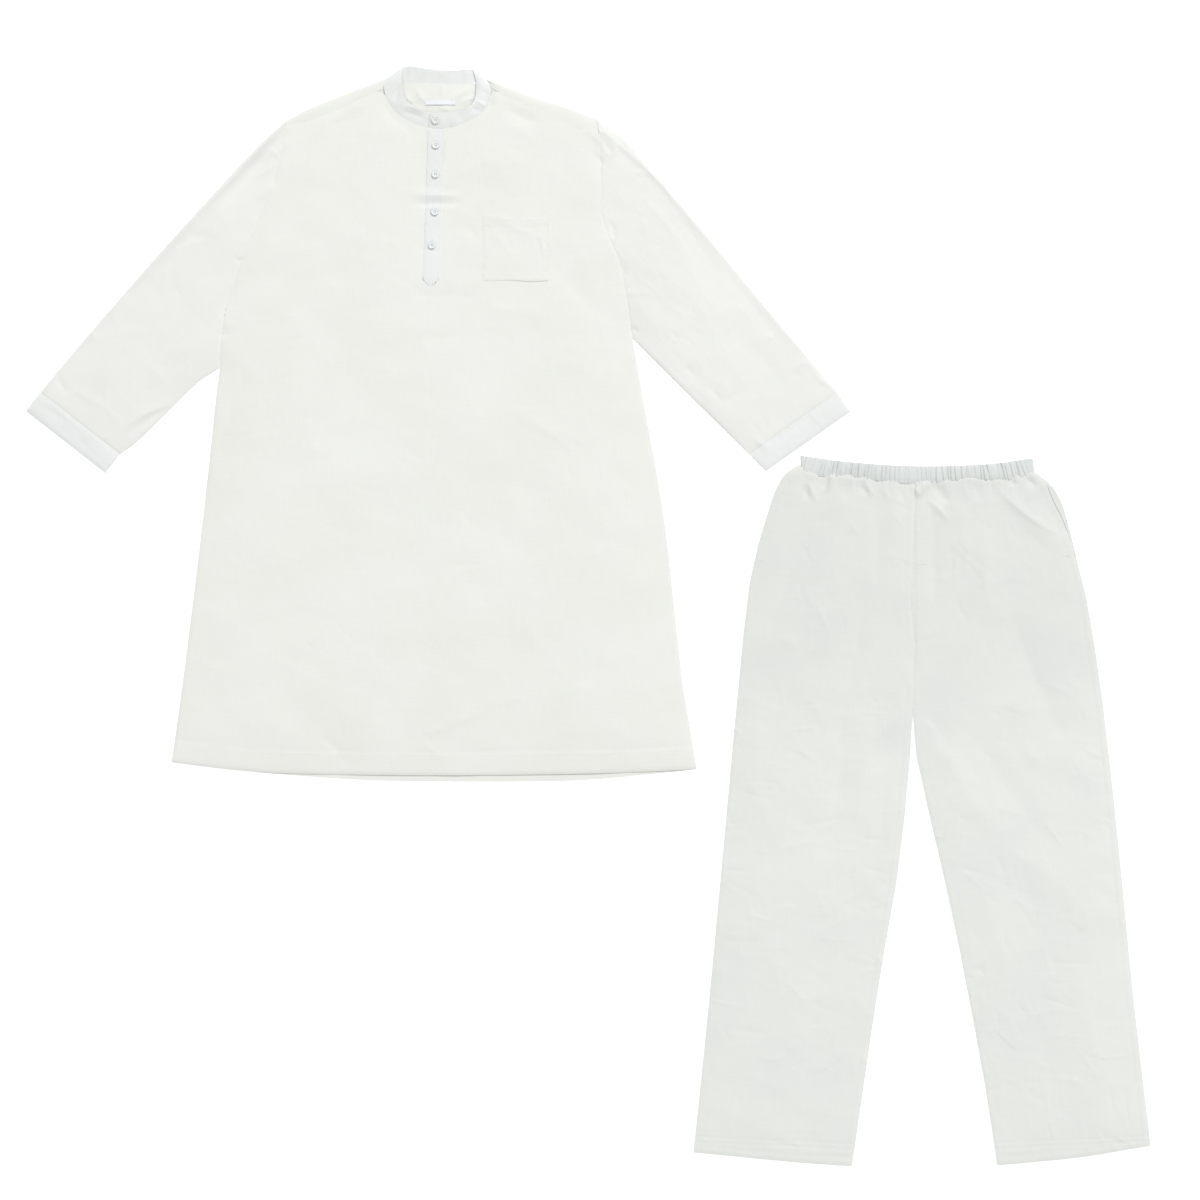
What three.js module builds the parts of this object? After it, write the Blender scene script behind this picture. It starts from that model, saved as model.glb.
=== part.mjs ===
// A thobe and its trousers, laid flat side by side with their fronts up, in millimetres, +Z up off the surface.
// Left and right are the wearer's: the wearer's left is +X. Each garment is drawn in its own frame, with x from
// its centre line and y up from its hem, and both are then placed in the set.
import * as THREE from "three";

// Cloth
const CLOTH = 1.2; // one layer of plain cotton cloth, as thick as a wall may sensibly be here
const DOUBLED = 1.6; // folded and interlined cloth: collar, cuffs, placket
const BAND = 2.4; // waistband: two layers of cloth over a wide elastic
const SEAM = 0.3; // clearance between pieces that are sewn together
const LAID = 2 * CLOTH + SEAM; // outer face of a front that lies on its back
const FOLD = LAID / 2; // how far the round edge of a fold takes a layer in
const LOFT = 3; // air under a front, away from the edges
const REACH = 45; // how quickly the front rises to that, from its edges
const HEM = { depth: 33, rise: 0.5 }; // turned-up hem and the extra layers in it

// Places of the two garments in the set: the foot of each centre line
const THOBE_AT = { x: -224.7, y: -228.2 };
const TROUSERS_AT = { x: 482.7, y: -807.2 };

// Thobe edges, the wearer's right at negative x
const SIDE = {
  right: rows("x y", [-387, 13], [-370, 134], [-341, 369], [-322, 545], [-316, 592]),
  left: rows("x y", [385, 3], [363, 134], [337, 369], [306, 545], [290, 636]),
};
const ARMHOLE = {
  right: rows("x y", [-316, 592], [-310, 663], [-287, 745], [-254, 825], [-234, 870], [-222, 930], [-220, 947]),
  left: rows("x y", [290, 636], [282, 694], [267, 767], [245, 802], [244, 866], [243, 913], [242, 936]),
};
const SHOULDER_FOLD = {
  right: rows("x y", [-219, 957], [-198, 969], [-157, 986], [-112, 1004], [-73, 1018]),
  left: rows("x y", [238, 958], [215, 969], [162, 986], [112, 1004], [75, 1018]),
};
const SHOULDER_SEAM = {
  right: rows("x y", [-220, 947], [-193, 954], [-145, 971], [-118, 984], [-77, 1003]),
  left: rows("x y", [242, 936], [191, 950], [144, 973], [113, 987], [84, 1004]),
};
const NECK_FRONT = rows(
  "x y",
  [-77, 1003], [-74, 991], [-60, 970], [-37, 953], [-10, 944], [16, 944], [40, 950], [65, 962], [80, 982], [84, 1004],
);
const NECK_BACK = rows("x y", [-73, 1018], [-45, 1014], [2, 1010], [54, 1011], [75, 1018]);
const HEM_FRONT = rows("x y", [-387, 13], [-278, 0], [-179, -4], [22, -6], [243, -3], [385, 3]);
const HEM_BACK = rows("x y", [-387, 13], [-278, 0], [-169, -9], [-51, -14.5], [184, -14.5], [301, -6], [385, 3]);
const NECK_SHARE = { from: 0.31, to: 0.66 }; // part of the front's width that runs up to the neck
const SHARE_SLIP = 1e-9; // so that a share that was added up still counts as the end of the neck

// Sleeves: folded top edge and underarm edge, from the armhole to the cuff seam, then the cuff's open end
const SLEEVE = {
  right: {
    over: rows("x y", [-219, 957], [-237, 942], [-281, 898], [-388, 781], [-492, 663], [-542, 604], [-581, 557]),
    under: rows("x y", [-316, 592], [-344, 575], [-375, 545], [-434, 487], [-463, 465]),
    end: rows("x y", [-602, 530], [-484, 438]),
  },
  left: {
    over: rows("x y", [238, 958], [265, 942], [307, 898], [406, 781], [504, 663], [554, 604], [592, 557]),
    under: rows("x y", [290, 636], [322, 604], [381, 545], [440, 487], [462, 465]),
    end: rows("x y", [611, 529], [486, 441]),
  },
};

// Collar: a band round the neck, its top edge, and where its two ends lie over each other at the front
const COLLAR = {
  topFront: rows(
    "x y",
    [-46, 1036], [-49, 1018], [-46, 991], [-37, 981], [-25, 972], [-7, 967], [16, 968], [40, 970], [56, 981],
    [60, 995], [60, 1015], [56, 1033],
  ),
  topBack: rows("x y", [-46, 1036], [-41, 1037], [13, 1030], [37, 1031], [56, 1033]),
  overEnd: -10,
  underEnd: 15,
  hidden: 12, // how far the under end goes on beneath the over end at full height
  lapBelow: 960, // the two ends lie below this height
  standFront: 9,
  standBack: 6,
  turn: 0.125, // share of the front in which the band rises from its stand at the back
  bow: 0.6,
};

// Front trimmings
const PLACKET = rows("y from to", [943, -10, 14], [877, -12, 12], [792, -15, 9], [722, -18, 6]);
const PLACKET_TIP = { x: -7, y: 713 };
const SLIT = { from: 0.4935, to: 0.4965, low: 735 }; // the opening under the placket
const POCKET = { left: 70, right: 167, low: 719, high: 816, mouth: 0.8 };
const LABEL = { x: 8, y: 990, width: 44, height: 21, thick: 1, lift: 0.9 };
const BUTTON = { across: 11.4, thick: 2.4, rim: 1.2, dish: 0.7, foot: 0.4, brow: 0.7, bevel: 0.4, bowl: 1.8 };
const BUTTONS = rows("x y", [1, 956.5], [1.5, 920], [1, 877], [0, 822], [-4, 773]);

// The thobe's largest folds: a soft ridge or trough from one point to another
const THOBE_FOLDS = rows(
  "x y toX toY rise spread",
  [106, 980, 165, 960, 1.1, 10],
  [-102, 984, -190, 927, 0.9, 11],
  [219, 947, 262, 900, 1.2, 14],
  [-194, 940, -257, 902, 1, 14],
  [168, 756, 279, 650, -1.4, 22],
  [-56, 695, 78, 695, -0.9, 16],
  [112, 523, 212, 467, 1.2, 20],
  [218, 122, 246, 184, -1, 18],
  [-44, 59, 146, 110, 1.2, 18],
  [-179, 59, -126, 2, -0.8, 16],
  [-420, 690, -330, 600, 1.1, 22],
  [440, 660, 350, 720, 1.1, 22],
  [-520, 560, -430, 540, -0.8, 18],
  [-233, 914, -300, 852, -1.1, 13],
  [300, 874, 402, 740, -1, 13],
  [-461, 500, -382, 540, 1.1, 12],
  [517, 578, 566, 578, 1, 14],
);
const FOLD_END = 0.1; // share of a fold's taper that is already there at each of its ends

// Trousers edges, from hem to waist. The wearer's left front stops short of the side at the pocket mouth.
const OUTSEAM = {
  right: rows(
    "x y",
    [-326, 19], [-303, 243], [-281, 478], [-262, 684], [-247, 831], [-237, 889], [-220, 948], [-199, 1007], [-170, 1027],
  ),
  left: rows(
    "x y",
    [344, 29], [319, 243], [296, 478], [273, 684], [250, 831], [237, 889], [222, 948], [212, 978], [194, 1006], [175, 1016],
  ),
};
const POCKET_MOUTH = rows(
  "x y",
  [344, 29], [319, 243], [296, 478], [273, 684], [250, 831], [233, 897], [216, 947], [203, 973], [190, 1003], [175, 1016],
);
const INSEAM = {
  right: rows("x y", [-95, -1], [-68, 184], [-50, 301], [-29, 419], [-15, 537], [-7, 635]),
  left: rows("x y", [120, 0], [101, 125], [79, 243], [56, 360], [29, 478], [9, 566], [-6, 635]),
};
const CROTCH = 0.4; // share of a leg's height above the crotch
const CENTRE_SEAM = rows("x y", [-6, 635], [-5, 695], [-2, 770], [-9, 832], [-4, 913], [-3, 1000]);
const TROUSER_HEM = {
  right: rows("x y", [-326, 19], [-170, 4], [-95, -1]),
  left: rows("x y", [120, 0], [241, 12], [344, 29]),
};
const WAIST_SEAM = {
  right: rows("x y", [-170, 1027], [-150, 1013], [-94, 1011], [-43, 1003], [-3, 1000]),
  left: rows("x y", [-3, 1000], [28, 1003], [78, 1007], [129, 1006], [159, 1011], [175, 1016]),
};
const BAND_TOP = rows("x y", [-171, 1043], [-98, 1033], [3, 1027], [104, 1030], [165, 1038], [173, 1037]);
const GATHERS = 40; // across the front of the waistband
const GATHER = { rise: 1.5, puff: 1.2, lean: 0.03, uneven: 0.3, pace: 1.7 };
const BAND_LEVELS = [0, 0.3, 0.7, 1]; // from the waist seam to the band's top edge
const BAND_SEAM = 0.025; // share of the band's height by which it stands off the waist seam
const BAND_ENDS = 1 / 6; // share of the band in which its gathers die out at each end
const PUFFS = { each: 10, rise: 2, fade: 34, uneven: 0.4, pace: 2.3 }; // folds that run down from the gathers into each front
const BACK_EASE = 2; // how far the backs stop short of the waist seam's curve
const FACING = { top: 997, foot: 893 };
const TROUSER_FOLDS = rows(
  "x y toX toY rise spread",
  [138, 990, 226, 880, 1.3, 14],
  [-6, 735, -60, 620, 1.4, 18],
  [-10, 640, -90, 560, -1, 20],
  [12, 640, 90, 560, 1.1, 20],
  [-190, 770, -130, 690, 1, 26],
  [-150, 520, -60, 440, -0.9, 30],
  [150, 520, 260, 400, 1, 30],
  [-260, 300, -150, 190, 1, 30],
  [150, 240, 300, 160, -0.9, 30],
);

// Colours and finish of the real pieces
const OFF_WHITE = 0xf0f0ea;
const COOL_WHITE = 0xedeff0;
const TROUSER_WHITE = 0xe8e9e4;
const PEARL = 0xf4f5f3;
const MATT = 0.85;
const SATIN = 0.35;

// How finely the pieces are divided
const SIDE_ROWS = 13; // hem to underarm
const ARM_ROWS = 8; // underarm to shoulder seam
const SHOULDER_COLUMNS = 6;
const NECK_COLUMNS = 10;
const SLEEVE_RINGS = 11;
const BACK_SIDE_ROWS = 5;
const BACK_ARM_ROWS = 4;
const CUFF_LEVELS = [0, 0.5, 1];
const CUFF_LOWER_COLUMNS = 4;
const COLLAR_STEPS = 24;
const PLACKET_ROWS = 14;
const POCKET_CELLS = 8;
const LABEL_CELLS = 3;
const FACING_ROWS = 10;
const BACK_LEG_COLUMNS = 8;
const OUTLINE_STEPS = 8; // along each edge, for the distance to the outline
const SEARCH_STEPS = 400; // along an edge, to find a place on it
const ROUND = 16;
const TROUSER_DROPS = [0, 0.012, 0.03, 0.055, 0.085, 0.13, 0.19, 0.26, 0.34, 0.43, 0.52, 0.61, 0.7, 0.79, 0.88, 0.95, 1];

// A table: column names, then rows of numbers
function rows(names, ...values) {
  const keys = names.split(" ");
  return values.map((row) => Object.fromEntries(row.map((value, i) => [keys[i], value])));
}

function curve(table) {
  return new THREE.SplineCurve(table.map(({ x, y }) => new THREE.Vector2(x, y)));
}

// A path of straight stretches, for what is sewn along a made panel's own edge
function alongEdge(points) {
  return new THREE.Path(points.map(({ x, y }) => new THREE.Vector2(x, y)));
}

// Two curves end to end, as one edge from 0 to 1 that changes over at "join"
function joined(first, second, join) {
  return (t) => (t <= join ? first.getPointAt(t / join) : second.getPointAt((t - join) / (1 - join)));
}

// A sheet in plan between four edges, by the rule of Coons
function sheet(low, high, start, end) {
  const corners = [low(0), low(1), high(0), high(1)];
  return (s, t) => {
    const across = low(s).multiplyScalar(1 - t).add(high(s).multiplyScalar(t));
    const along = start(t).multiplyScalar(1 - s).add(end(t).multiplyScalar(s));
    const twice = corners[0].clone().multiplyScalar((1 - s) * (1 - t));
    twice.addScaledVector(corners[1], s * (1 - t));
    twice.addScaledVector(corners[2], (1 - s) * t);
    twice.addScaledVector(corners[3], s * t);
    return across.add(along).sub(twice);
  };
}

// Distance from a point to a stretch between a and b, and how far along it the nearest place is
function toStretch(x, y, a, b) {
  const alongX = b.x - a.x;
  const alongY = b.y - a.y;
  const share = ((x - a.x) * alongX + (y - a.y) * alongY) / (alongX ** 2 + alongY ** 2);
  const t = THREE.MathUtils.clamp(share, 0, 1);
  return { t, far: Math.hypot(x - a.x - alongX * t, y - a.y - alongY * t) };
}

// Height of the outer face of whatever lies uppermost: low at the outline, lofted inside it, with the folds added
function drapeOver(outline, folds) {
  return (x, y) => {
    const edge = Math.min(...outline.map((a, i) => toStretch(x, y, a, outline[(i + 1) % outline.length]).far));
    let height = LAID + LOFT * (1 - Math.exp(-edge / REACH));
    for (const fold of folds) {
      const { t, far } = toStretch(x, y, fold, { x: fold.toX, y: fold.toY });
      const tapered = fold.rise * Math.sqrt(Math.sin(Math.PI * THREE.MathUtils.lerp(FOLD_END, 1 - FOLD_END, t)));
      height += tapered * Math.exp(-((far / fold.spread) ** 2));
    }
    return Math.max(height, LAID);
  };
}

// A closed wall between two grids of points, in rows of columns, with only the cells that are kept
function wall(outer, inner, { closed = false, kept = () => true } = {}) {
  const columns = outer[0].length;
  const across = closed ? columns : columns - 1;
  const points = [...outer.flat(), ...inner.flat()];
  const under = outer.length * columns;
  const at = (row, column) => row * columns + (column % columns);
  const faces = [];
  const quad = (a, b, c, d) => faces.push(a, b, c, a, c, d);
  const has = (row, column) => {
    if (row < 0 || row > outer.length - 2) return false;
    if (!closed && (column < 0 || column >= across)) return false;
    return kept(row, (column + across) % across);
  };
  for (let row = 0; row < outer.length - 1; row++) {
    for (let column = 0; column < across; column++) {
      if (!has(row, column)) continue;
      const [a, b, c, d] = [at(row, column), at(row, column + 1), at(row + 1, column + 1), at(row + 1, column)];
      quad(a, b, c, d);
      quad(under + a, under + d, under + c, under + b);
      if (!has(row - 1, column)) quad(under + a, under + b, b, a);
      if (!has(row + 1, column)) quad(under + c, under + d, d, c);
      if (!has(row, column - 1)) quad(under + d, under + a, a, d);
      if (!has(row, column + 1)) quad(under + b, under + c, c, b);
    }
  }
  if (volume(points, faces) < 0) faces.reverse();
  const geometry = new THREE.BufferGeometry().setFromPoints(points);
  geometry.setIndex(faces);
  return geometry;
}

function volume(points, faces) {
  let six = 0;
  for (let i = 0; i < faces.length; i += 3) {
    const [a, b, c] = [points[faces[i]], points[faces[i + 1]], points[faces[i + 2]]];
    six += a.dot(new THREE.Vector3().crossVectors(b, c));
  }
  return six;
}

// A layer with its outer face at a height over each point in plan, and its wall below that
function layer(plan, heightAt, thick, options) {
  const outer = plan.map((row) => row.map((p) => new THREE.Vector3(p.x, p.y, heightAt(p.x, p.y))));
  const inner = outer.map((row) => row.map((p) => new THREE.Vector3(p.x, p.y, p.z - thick)));
  return { outer, geometry: wall(outer, inner, options) };
}

// Height of a made panel's own facets at a point, so that what is sewn on it follows them
function onPanel(outer) {
  const triangles = [];
  for (let row = 0; row < outer.length - 1; row++) {
    for (let column = 0; column < outer[0].length - 1; column++) {
      const [a, b] = [outer[row][column], outer[row][column + 1]];
      const [c, d] = [outer[row + 1][column + 1], outer[row + 1][column]];
      triangles.push([a, b, c], [a, c, d]);
    }
  }
  return (x, y) => {
    let highest = -Infinity;
    for (const [a, b, c] of triangles) {
      const whole = (b.x - a.x) * (c.y - a.y) - (c.x - a.x) * (b.y - a.y);
      const v = ((x - a.x) * (c.y - a.y) - (c.x - a.x) * (y - a.y)) / whole;
      const w = ((b.x - a.x) * (y - a.y) - (x - a.x) * (b.y - a.y)) / whole;
      const inside = v >= -1e-6 && w >= -1e-6 && v + w <= 1 + 1e-6;
      if (inside) highest = Math.max(highest, a.z + v * (b.z - a.z) + w * (c.z - a.z));
    }
    return highest;
  };
}

function steps(count) {
  return Array.from({ length: count + 1 }, (_, i) => i / count);
}

function place(group, name, geometry, color, roughness) {
  geometry.computeVertexNormals();
  const material = new THREE.MeshStandardMaterial({ color, roughness, metalness: 0 });
  const piece = new THREE.Mesh(geometry, material);
  piece.name = name;
  group.add(piece);
  return piece;
}

// Thobe
const thobe = new THREE.Group();
const SIDES = ["right", "left"];
const UNDERARM = SIDE_ROWS / (SIDE_ROWS + ARM_ROWS);
const bodyEdge = Object.fromEntries(
  SIDES.map((side) => [side, joined(curve(SIDE[side]), curve(ARMHOLE[side]), UNDERARM)]),
);

function outlineOf(...edges) {
  const spacing = steps(OUTLINE_STEPS).slice(0, -1);
  return edges.flatMap(([table, backwards]) => {
    const edge = curve(table);
    return spacing.map((t) => edge.getPointAt(backwards ? 1 - t : t));
  });
}

const thobeTop = drapeOver(
  outlineOf(
    [HEM_BACK], [SIDE.left], [SLEEVE.left.under], [[SLEEVE.left.under.at(-1), SLEEVE.left.end[1]]],
    [SLEEVE.left.end, true], [[SLEEVE.left.end[0], SLEEVE.left.over.at(-1)]], [SLEEVE.left.over, true],
    [SHOULDER_FOLD.left], [NECK_BACK, true], [SHOULDER_FOLD.right, true], [SLEEVE.right.over],
    [[SLEEVE.right.over.at(-1), SLEEVE.right.end[0]]], [SLEEVE.right.end],
    [[SLEEVE.right.end[1], SLEEVE.right.under.at(-1)]], [SLEEVE.right.under, true], [SIDE.right, true],
  ),
  THOBE_FOLDS,
);

// The edge at the shoulders and neck, from the wearer's right to left, for the front's seam or the back's fold
function shoulderLine(shoulders, neck) {
  const right = curve(shoulders.right);
  const middle = curve(neck);
  const left = curve(shoulders.left);
  const { from, to } = NECK_SHARE;
  return (s) => {
    if (s <= from) return right.getPointAt(s / from);
    if (s < to - SHARE_SLIP) return middle.getPointAt((s - from) / (to - from));
    return left.getPointAt(Math.min(1, (1 - s) / (1 - to)));
  };
}

function columnShares(shoulder, neck) {
  const { from, to } = NECK_SHARE;
  return [
    ...steps(shoulder).map((t) => t * from),
    ...steps(neck).slice(1).map((t) => from + t * (to - from)),
    ...steps(shoulder).slice(1).map((t) => to + t * (1 - to)),
  ];
}

// Front: one panel with a neckline and a short slit under the placket
function makeFront() {
  const hem = curve(HEM_FRONT);
  const plan = sheet((s) => hem.getPointAt(s), shoulderLine(SHOULDER_SEAM, NECK_FRONT), bodyEdge.right, bodyEdge.left);
  const shares = [...columnShares(SHOULDER_COLUMNS, NECK_COLUMNS), SLIT.from, SLIT.to].sort((a, b) => a - b);
  const down = steps(SIDE_ROWS + ARM_ROWS).map((t) => shares.map((s) => plan(s, t)));
  const slitColumn = shares.indexOf(SLIT.from);
  const kept = (row, column) => column !== slitColumn || down[row][column].y < SLIT.low;
  const height = (x, y) => thobeTop(x, y) + (y < HEM.depth ? HEM.rise : 0);
  return layer(down, height, CLOTH, { kept });
}

// Back: flat on the surface, and turned over at the shoulders to meet the front's seam
function makeBack() {
  const hem = curve(HEM_BACK);
  const fold = shoulderLine(SHOULDER_FOLD, NECK_BACK);
  const seam = shoulderLine(SHOULDER_SEAM, NECK_BACK);
  const rowCount = BACK_SIDE_ROWS + BACK_ARM_ROWS;
  const underarm = BACK_SIDE_ROWS / rowCount;
  const edges = SIDES.map((side) => joined(curve(SIDE[side]), curve(ARMHOLE[side]), underarm));
  const shares = columnShares(SHOULDER_COLUMNS, NECK_COLUMNS);
  const low = sheet((s) => hem.getPointAt(s), seamLevel(seam, fold), edges[0], edges[1]);
  const flat = steps(rowCount).map((t) => shares.map((s) => low(s, t)));
  const outer = flat.map((row) => row.map((p) => new THREE.Vector3(p.x, p.y, 0)));
  const inner = flat.map((row) => row.map((p) => new THREE.Vector3(p.x, p.y, CLOTH)));
  const turned = [
    { inset: FOLD, outside: 0, inside: CLOTH, innerInset: FOLD },
    { inset: 0, outside: FOLD, inside: FOLD, innerInset: CLOTH },
    { inset: FOLD, outside: LAID, inside: CLOTH + SEAM, innerInset: FOLD },
  ];
  const fromFold = (s, inset, z) => {
    const p = seam(s).clone().sub(fold(s)).setLength(inset).add(fold(s));
    return new THREE.Vector3(p.x, p.y, z);
  };
  for (const { inset, outside, inside, innerInset } of turned) {
    outer.push(shares.map((s) => fromFold(s, inset, outside)));
    inner.push(shares.map((s) => fromFold(s, innerInset, inside)));
  }
  const front = shares.map((s) => new THREE.Vector3(seam(s).x, seam(s).y + SEAM, 0));
  front.forEach((p) => p.setZ(thobeTop(p.x, p.y)));
  outer.push(front);
  inner.push(front.map((p) => new THREE.Vector3(p.x, p.y, p.z - CLOTH)));
  const flatRows = flat.length - 1;
  const inNeck = (column) => column >= SHOULDER_COLUMNS && column < SHOULDER_COLUMNS + NECK_COLUMNS;
  return wall(outer, inner, { kept: (row, column) => row < flatRows || !inNeck(column) });
}

// The back's flat part ends at the shoulder seam's level beside the neck line itself
function seamLevel(seam, fold) {
  const inNeck = (s) => s > NECK_SHARE.from && s < NECK_SHARE.to - SHARE_SLIP;
  return (s) => (inNeck(s) ? fold(s) : seam(s));
}

// A flattened tube: each ring runs over the upper layer and back under the lower one
function tube(rings, heightAt, thick, lowerColumns) {
  const spread = 2 * (thick - CLOTH);
  const outer = [];
  const inner = [];
  for (const ring of rings) {
    const first = ring[0];
    const last = ring.at(-1);
    const fromFirst = ring[1].clone().sub(first).normalize();
    const fromLast = ring.at(-2).clone().sub(last).normalize();
    const upper = [...ring];
    upper[0] = first.clone().addScaledVector(fromFirst, FOLD);
    upper[upper.length - 1] = last.clone().addScaledVector(fromLast, FOLD);
    const lower = lowerColumns.map((i) => upper[i]).reverse();
    const crest = FOLD + spread / 2;
    const over = (p, z) => new THREE.Vector3(p.x, p.y, z);
    const wallIn = (p, inward) => over(p.clone().addScaledVector(inward, thick), crest);
    outer.push([
      over(first, crest),
      ...upper.map((p) => over(p, heightAt(p.x, p.y) + spread)),
      over(last, crest),
      ...lower.map((p) => over(p, 0)),
    ]);
    inner.push([
      wallIn(first, fromFirst),
      ...upper.map((p) => over(p.clone(), heightAt(p.x, p.y) + spread - thick)),
      wallIn(last, fromLast),
      ...lower.map((p) => over(p, thick)),
    ]);
  }
  return wall(outer, inner, { closed: true });
}

// Points across the armhole, shoulder fold first, as shares of the way to the underarm
function armholeShares(side) {
  const hole = curve(ARMHOLE[side]);
  const top = new THREE.Vector2(SHOULDER_FOLD[side][0].x, SHOULDER_FOLD[side][0].y);
  const cap = top.distanceTo(hole.getPointAt(1));
  const whole = cap + hole.getLength();
  const edge = (t) => {
    const far = t * whole;
    if (far < cap) return top.clone().lerp(hole.getPointAt(1), far / cap);
    return hole.getPointAt(1 - (far - cap) / (whole - cap));
  };
  const shares = [0, ...steps(ARM_ROWS).map((t) => (cap + t * (whole - cap)) / whole)];
  return { edge, shares };
}

function makeSleeve(side) {
  const over = curve(SLEEVE[side].over);
  const under = curve(SLEEVE[side].under);
  const { edge, shares } = armholeShares(side);
  const cuff = (t) => over.getPointAt(1).lerp(under.getPointAt(1), t);
  const plan = sheet((s) => over.getPointAt(s), (s) => under.getPointAt(s), edge, cuff);
  const away = side === "left" ? 1 : -1;
  const rings = steps(SLEEVE_RINGS).map((s) => shares.map((t) => plan(s, t)));
  rings[0] = rings[0].map((p, i, ring) => {
    const along = ring[Math.min(i + 1, ring.length - 1)].clone().sub(ring[Math.max(i - 1, 0)]).normalize();
    return p.clone().add(new THREE.Vector2(-along.y, along.x).multiplyScalar(away * SEAM));
  });
  const lower = [...shares.keys()].filter((i) => i === 0 || i % 2 === 1);
  return tube(rings, thobeTop, CLOTH, lower);
}

function makeCuff(side) {
  const { over, under, end } = SLEEVE[side];
  const seam = [over.at(-1), under.at(-1)].map(({ x, y }) => new THREE.Vector2(x, y));
  const open = end.map(({ x, y }) => new THREE.Vector2(x, y));
  const out = open[0].clone().add(open[1]).sub(seam[0]).sub(seam[1]).normalize().multiplyScalar(SEAM);
  const rings = CUFF_LEVELS.map((s) =>
    steps(ARM_ROWS).map((t) => {
      const ends = seam.map((p, i) => p.clone().add(out).lerp(open[i], s));
      return ends[0].lerp(ends[1], t);
    }),
  );
  return tube(rings, thobeTop, DOUBLED, steps(CUFF_LOWER_COLUMNS).map((t) => t * ARM_ROWS));
}

// Collar: a band whose sections go from its under end round the neck to its over end
function makeCollar(neckEdge) {
  const seamFront = alongEdge([SHOULDER_FOLD.right.at(-1), ...neckEdge, SHOULDER_FOLD.left.at(-1)]);
  const topFront = curve(COLLAR.topFront);
  const backEdge = curve(NECK_BACK);
  const seamBack = alongEdge(steps(NECK_COLUMNS).map((t) => backEdge.getPointAt(t)));
  const topBack = curve(COLLAR.topBack);
  const { overEnd, underEnd, hidden, lapBelow, standFront, standBack, turn, bow } = COLLAR;
  const across = [0, 0.5, 1];
  const section = (seam, top, low, high, rise, clear = SEAM) =>
    across.map((t) => {
      const p = seam.clone().lerp(top, t);
      const inset = (1 - t) * (clear / seam.distanceTo(top));
      p.lerp(top, inset);
      return new THREE.Vector3(p.x, p.y, low + (high - low) * t + rise * Math.sin(Math.PI * t));
    });
  const front = (f, drop) => {
    const seam = seamFront.getPoint(f);
    const side = Math.min(f, 1 - f) / turn;
    const high = THREE.MathUtils.lerp(standBack, standFront, Math.min(side, 1));
    return section(seam, topFront.getPointAt(f), thobeTop(seam.x, seam.y) - drop, high - drop, bow);
  };
  const back = (f) => section(seamBack.getPoint(f), topBack.getPointAt(f), 0, standBack - 2 * DOUBLED - SEAM, 0);
  const shareAt = (x) =>
    steps(SEARCH_STEPS).find((f) => seamFront.getPoint(f).y < lapBelow && seamFront.getPoint(f).x >= x);
  const tuck = DOUBLED + SEAM;
  const fine = steps(COLLAR_STEPS).slice(1, -1);
  const underShare = shareAt(underEnd);
  const overShare = shareAt(overEnd);
  const tuckShare = shareAt(overEnd - hidden);
  const sections = [front(underShare, tuck), front(overShare, tuck)];
  fine.filter((f) => f < tuckShare).reverse().forEach((f) => sections.push(front(f, 0)));
  const foldOf = (f) => section(seamFront.getPoint(f), topFront.getPointAt(f), FOLD, standBack / 2, 0, 3 * SEAM);
  sections.push(foldOf(0));
  steps(NECK_COLUMNS).slice(1, -1).forEach((f) => sections.push(back(f)));
  sections.push(foldOf(1));
  fine.filter((f) => f > overShare).reverse().forEach((f) => sections.push(front(f, 0)));
  sections.push(front(overShare, 0));
  const inner = sections.map((row, i) =>
    row.map((p, j) => {
      const along = sections[Math.min(i + 1, sections.length - 1)][j].clone().sub(sections[Math.max(i - 1, 0)][j]);
      const up = row[2].clone().sub(row[0]);
      const normal = new THREE.Vector3().crossVectors(along, up).normalize();
      return p.clone().addScaledVector(normal, DOUBLED);
    }),
  );
  return { outer: sections, geometry: wall(sections, inner) };
}

// Placket: a strip on the front from the neck seam to a shallow point
function makePlacket(under) {
  const shares = [0, 1 / 3, 2 / 3, 1];
  const strip = [...PLACKET].reverse();
  const left = curve(strip.map(({ y, from }) => ({ x: from, y })));
  const right = curve(strip.map(({ y, to }) => ({ x: to, y })));
  const plan = steps(PLACKET_ROWS).map((t) => shares.map((s) => left.getPointAt(t).lerp(right.getPointAt(t), s)));
  const point = shares.map((s) => {
    const p = left.getPointAt(0).lerp(right.getPointAt(0), s);
    p.y = THREE.MathUtils.lerp(p.y, PLACKET_TIP.y, Math.min(1, 3 * Math.min(s, 1 - s)));
    return p;
  });
  plan[0] = point;
  return layer(plan, (x, y) => under(x, y) + SEAM + DOUBLED, DOUBLED);
}

// Patch pocket, its mouth standing slightly off the front
function makePocket(under) {
  const { left, right, low, high, mouth } = POCKET;
  const cut = (t, from, to) => from + (to - from) * t;
  const cells = steps(POCKET_CELLS);
  const plan = cells.map((t) => cells.map((s) => new THREE.Vector2(cut(s, left, right), cut(t, low, high))));
  const height = (x, y) => {
    const up = (y - low) / (high - low);
    const across = Math.sin((Math.PI * (x - left)) / (right - left));
    return under(x, y) + SEAM + CLOTH + mouth * up ** 3 * across;
  };
  return layer(plan, height, CLOTH).geometry;
}

function makeLabel() {
  const { x, y, width, height, thick, lift } = LABEL;
  const cells = steps(LABEL_CELLS);
  const plan = cells.map((t) => cells.map((s) => new THREE.Vector2(x + width * (s - 0.5), y + height * (t - 0.5))));
  const rise = (_, py) => CLOTH + SEAM + thick + lift * (0.5 - (py - y) / height);
  return layer(plan, rise, thick).geometry;
}

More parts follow.
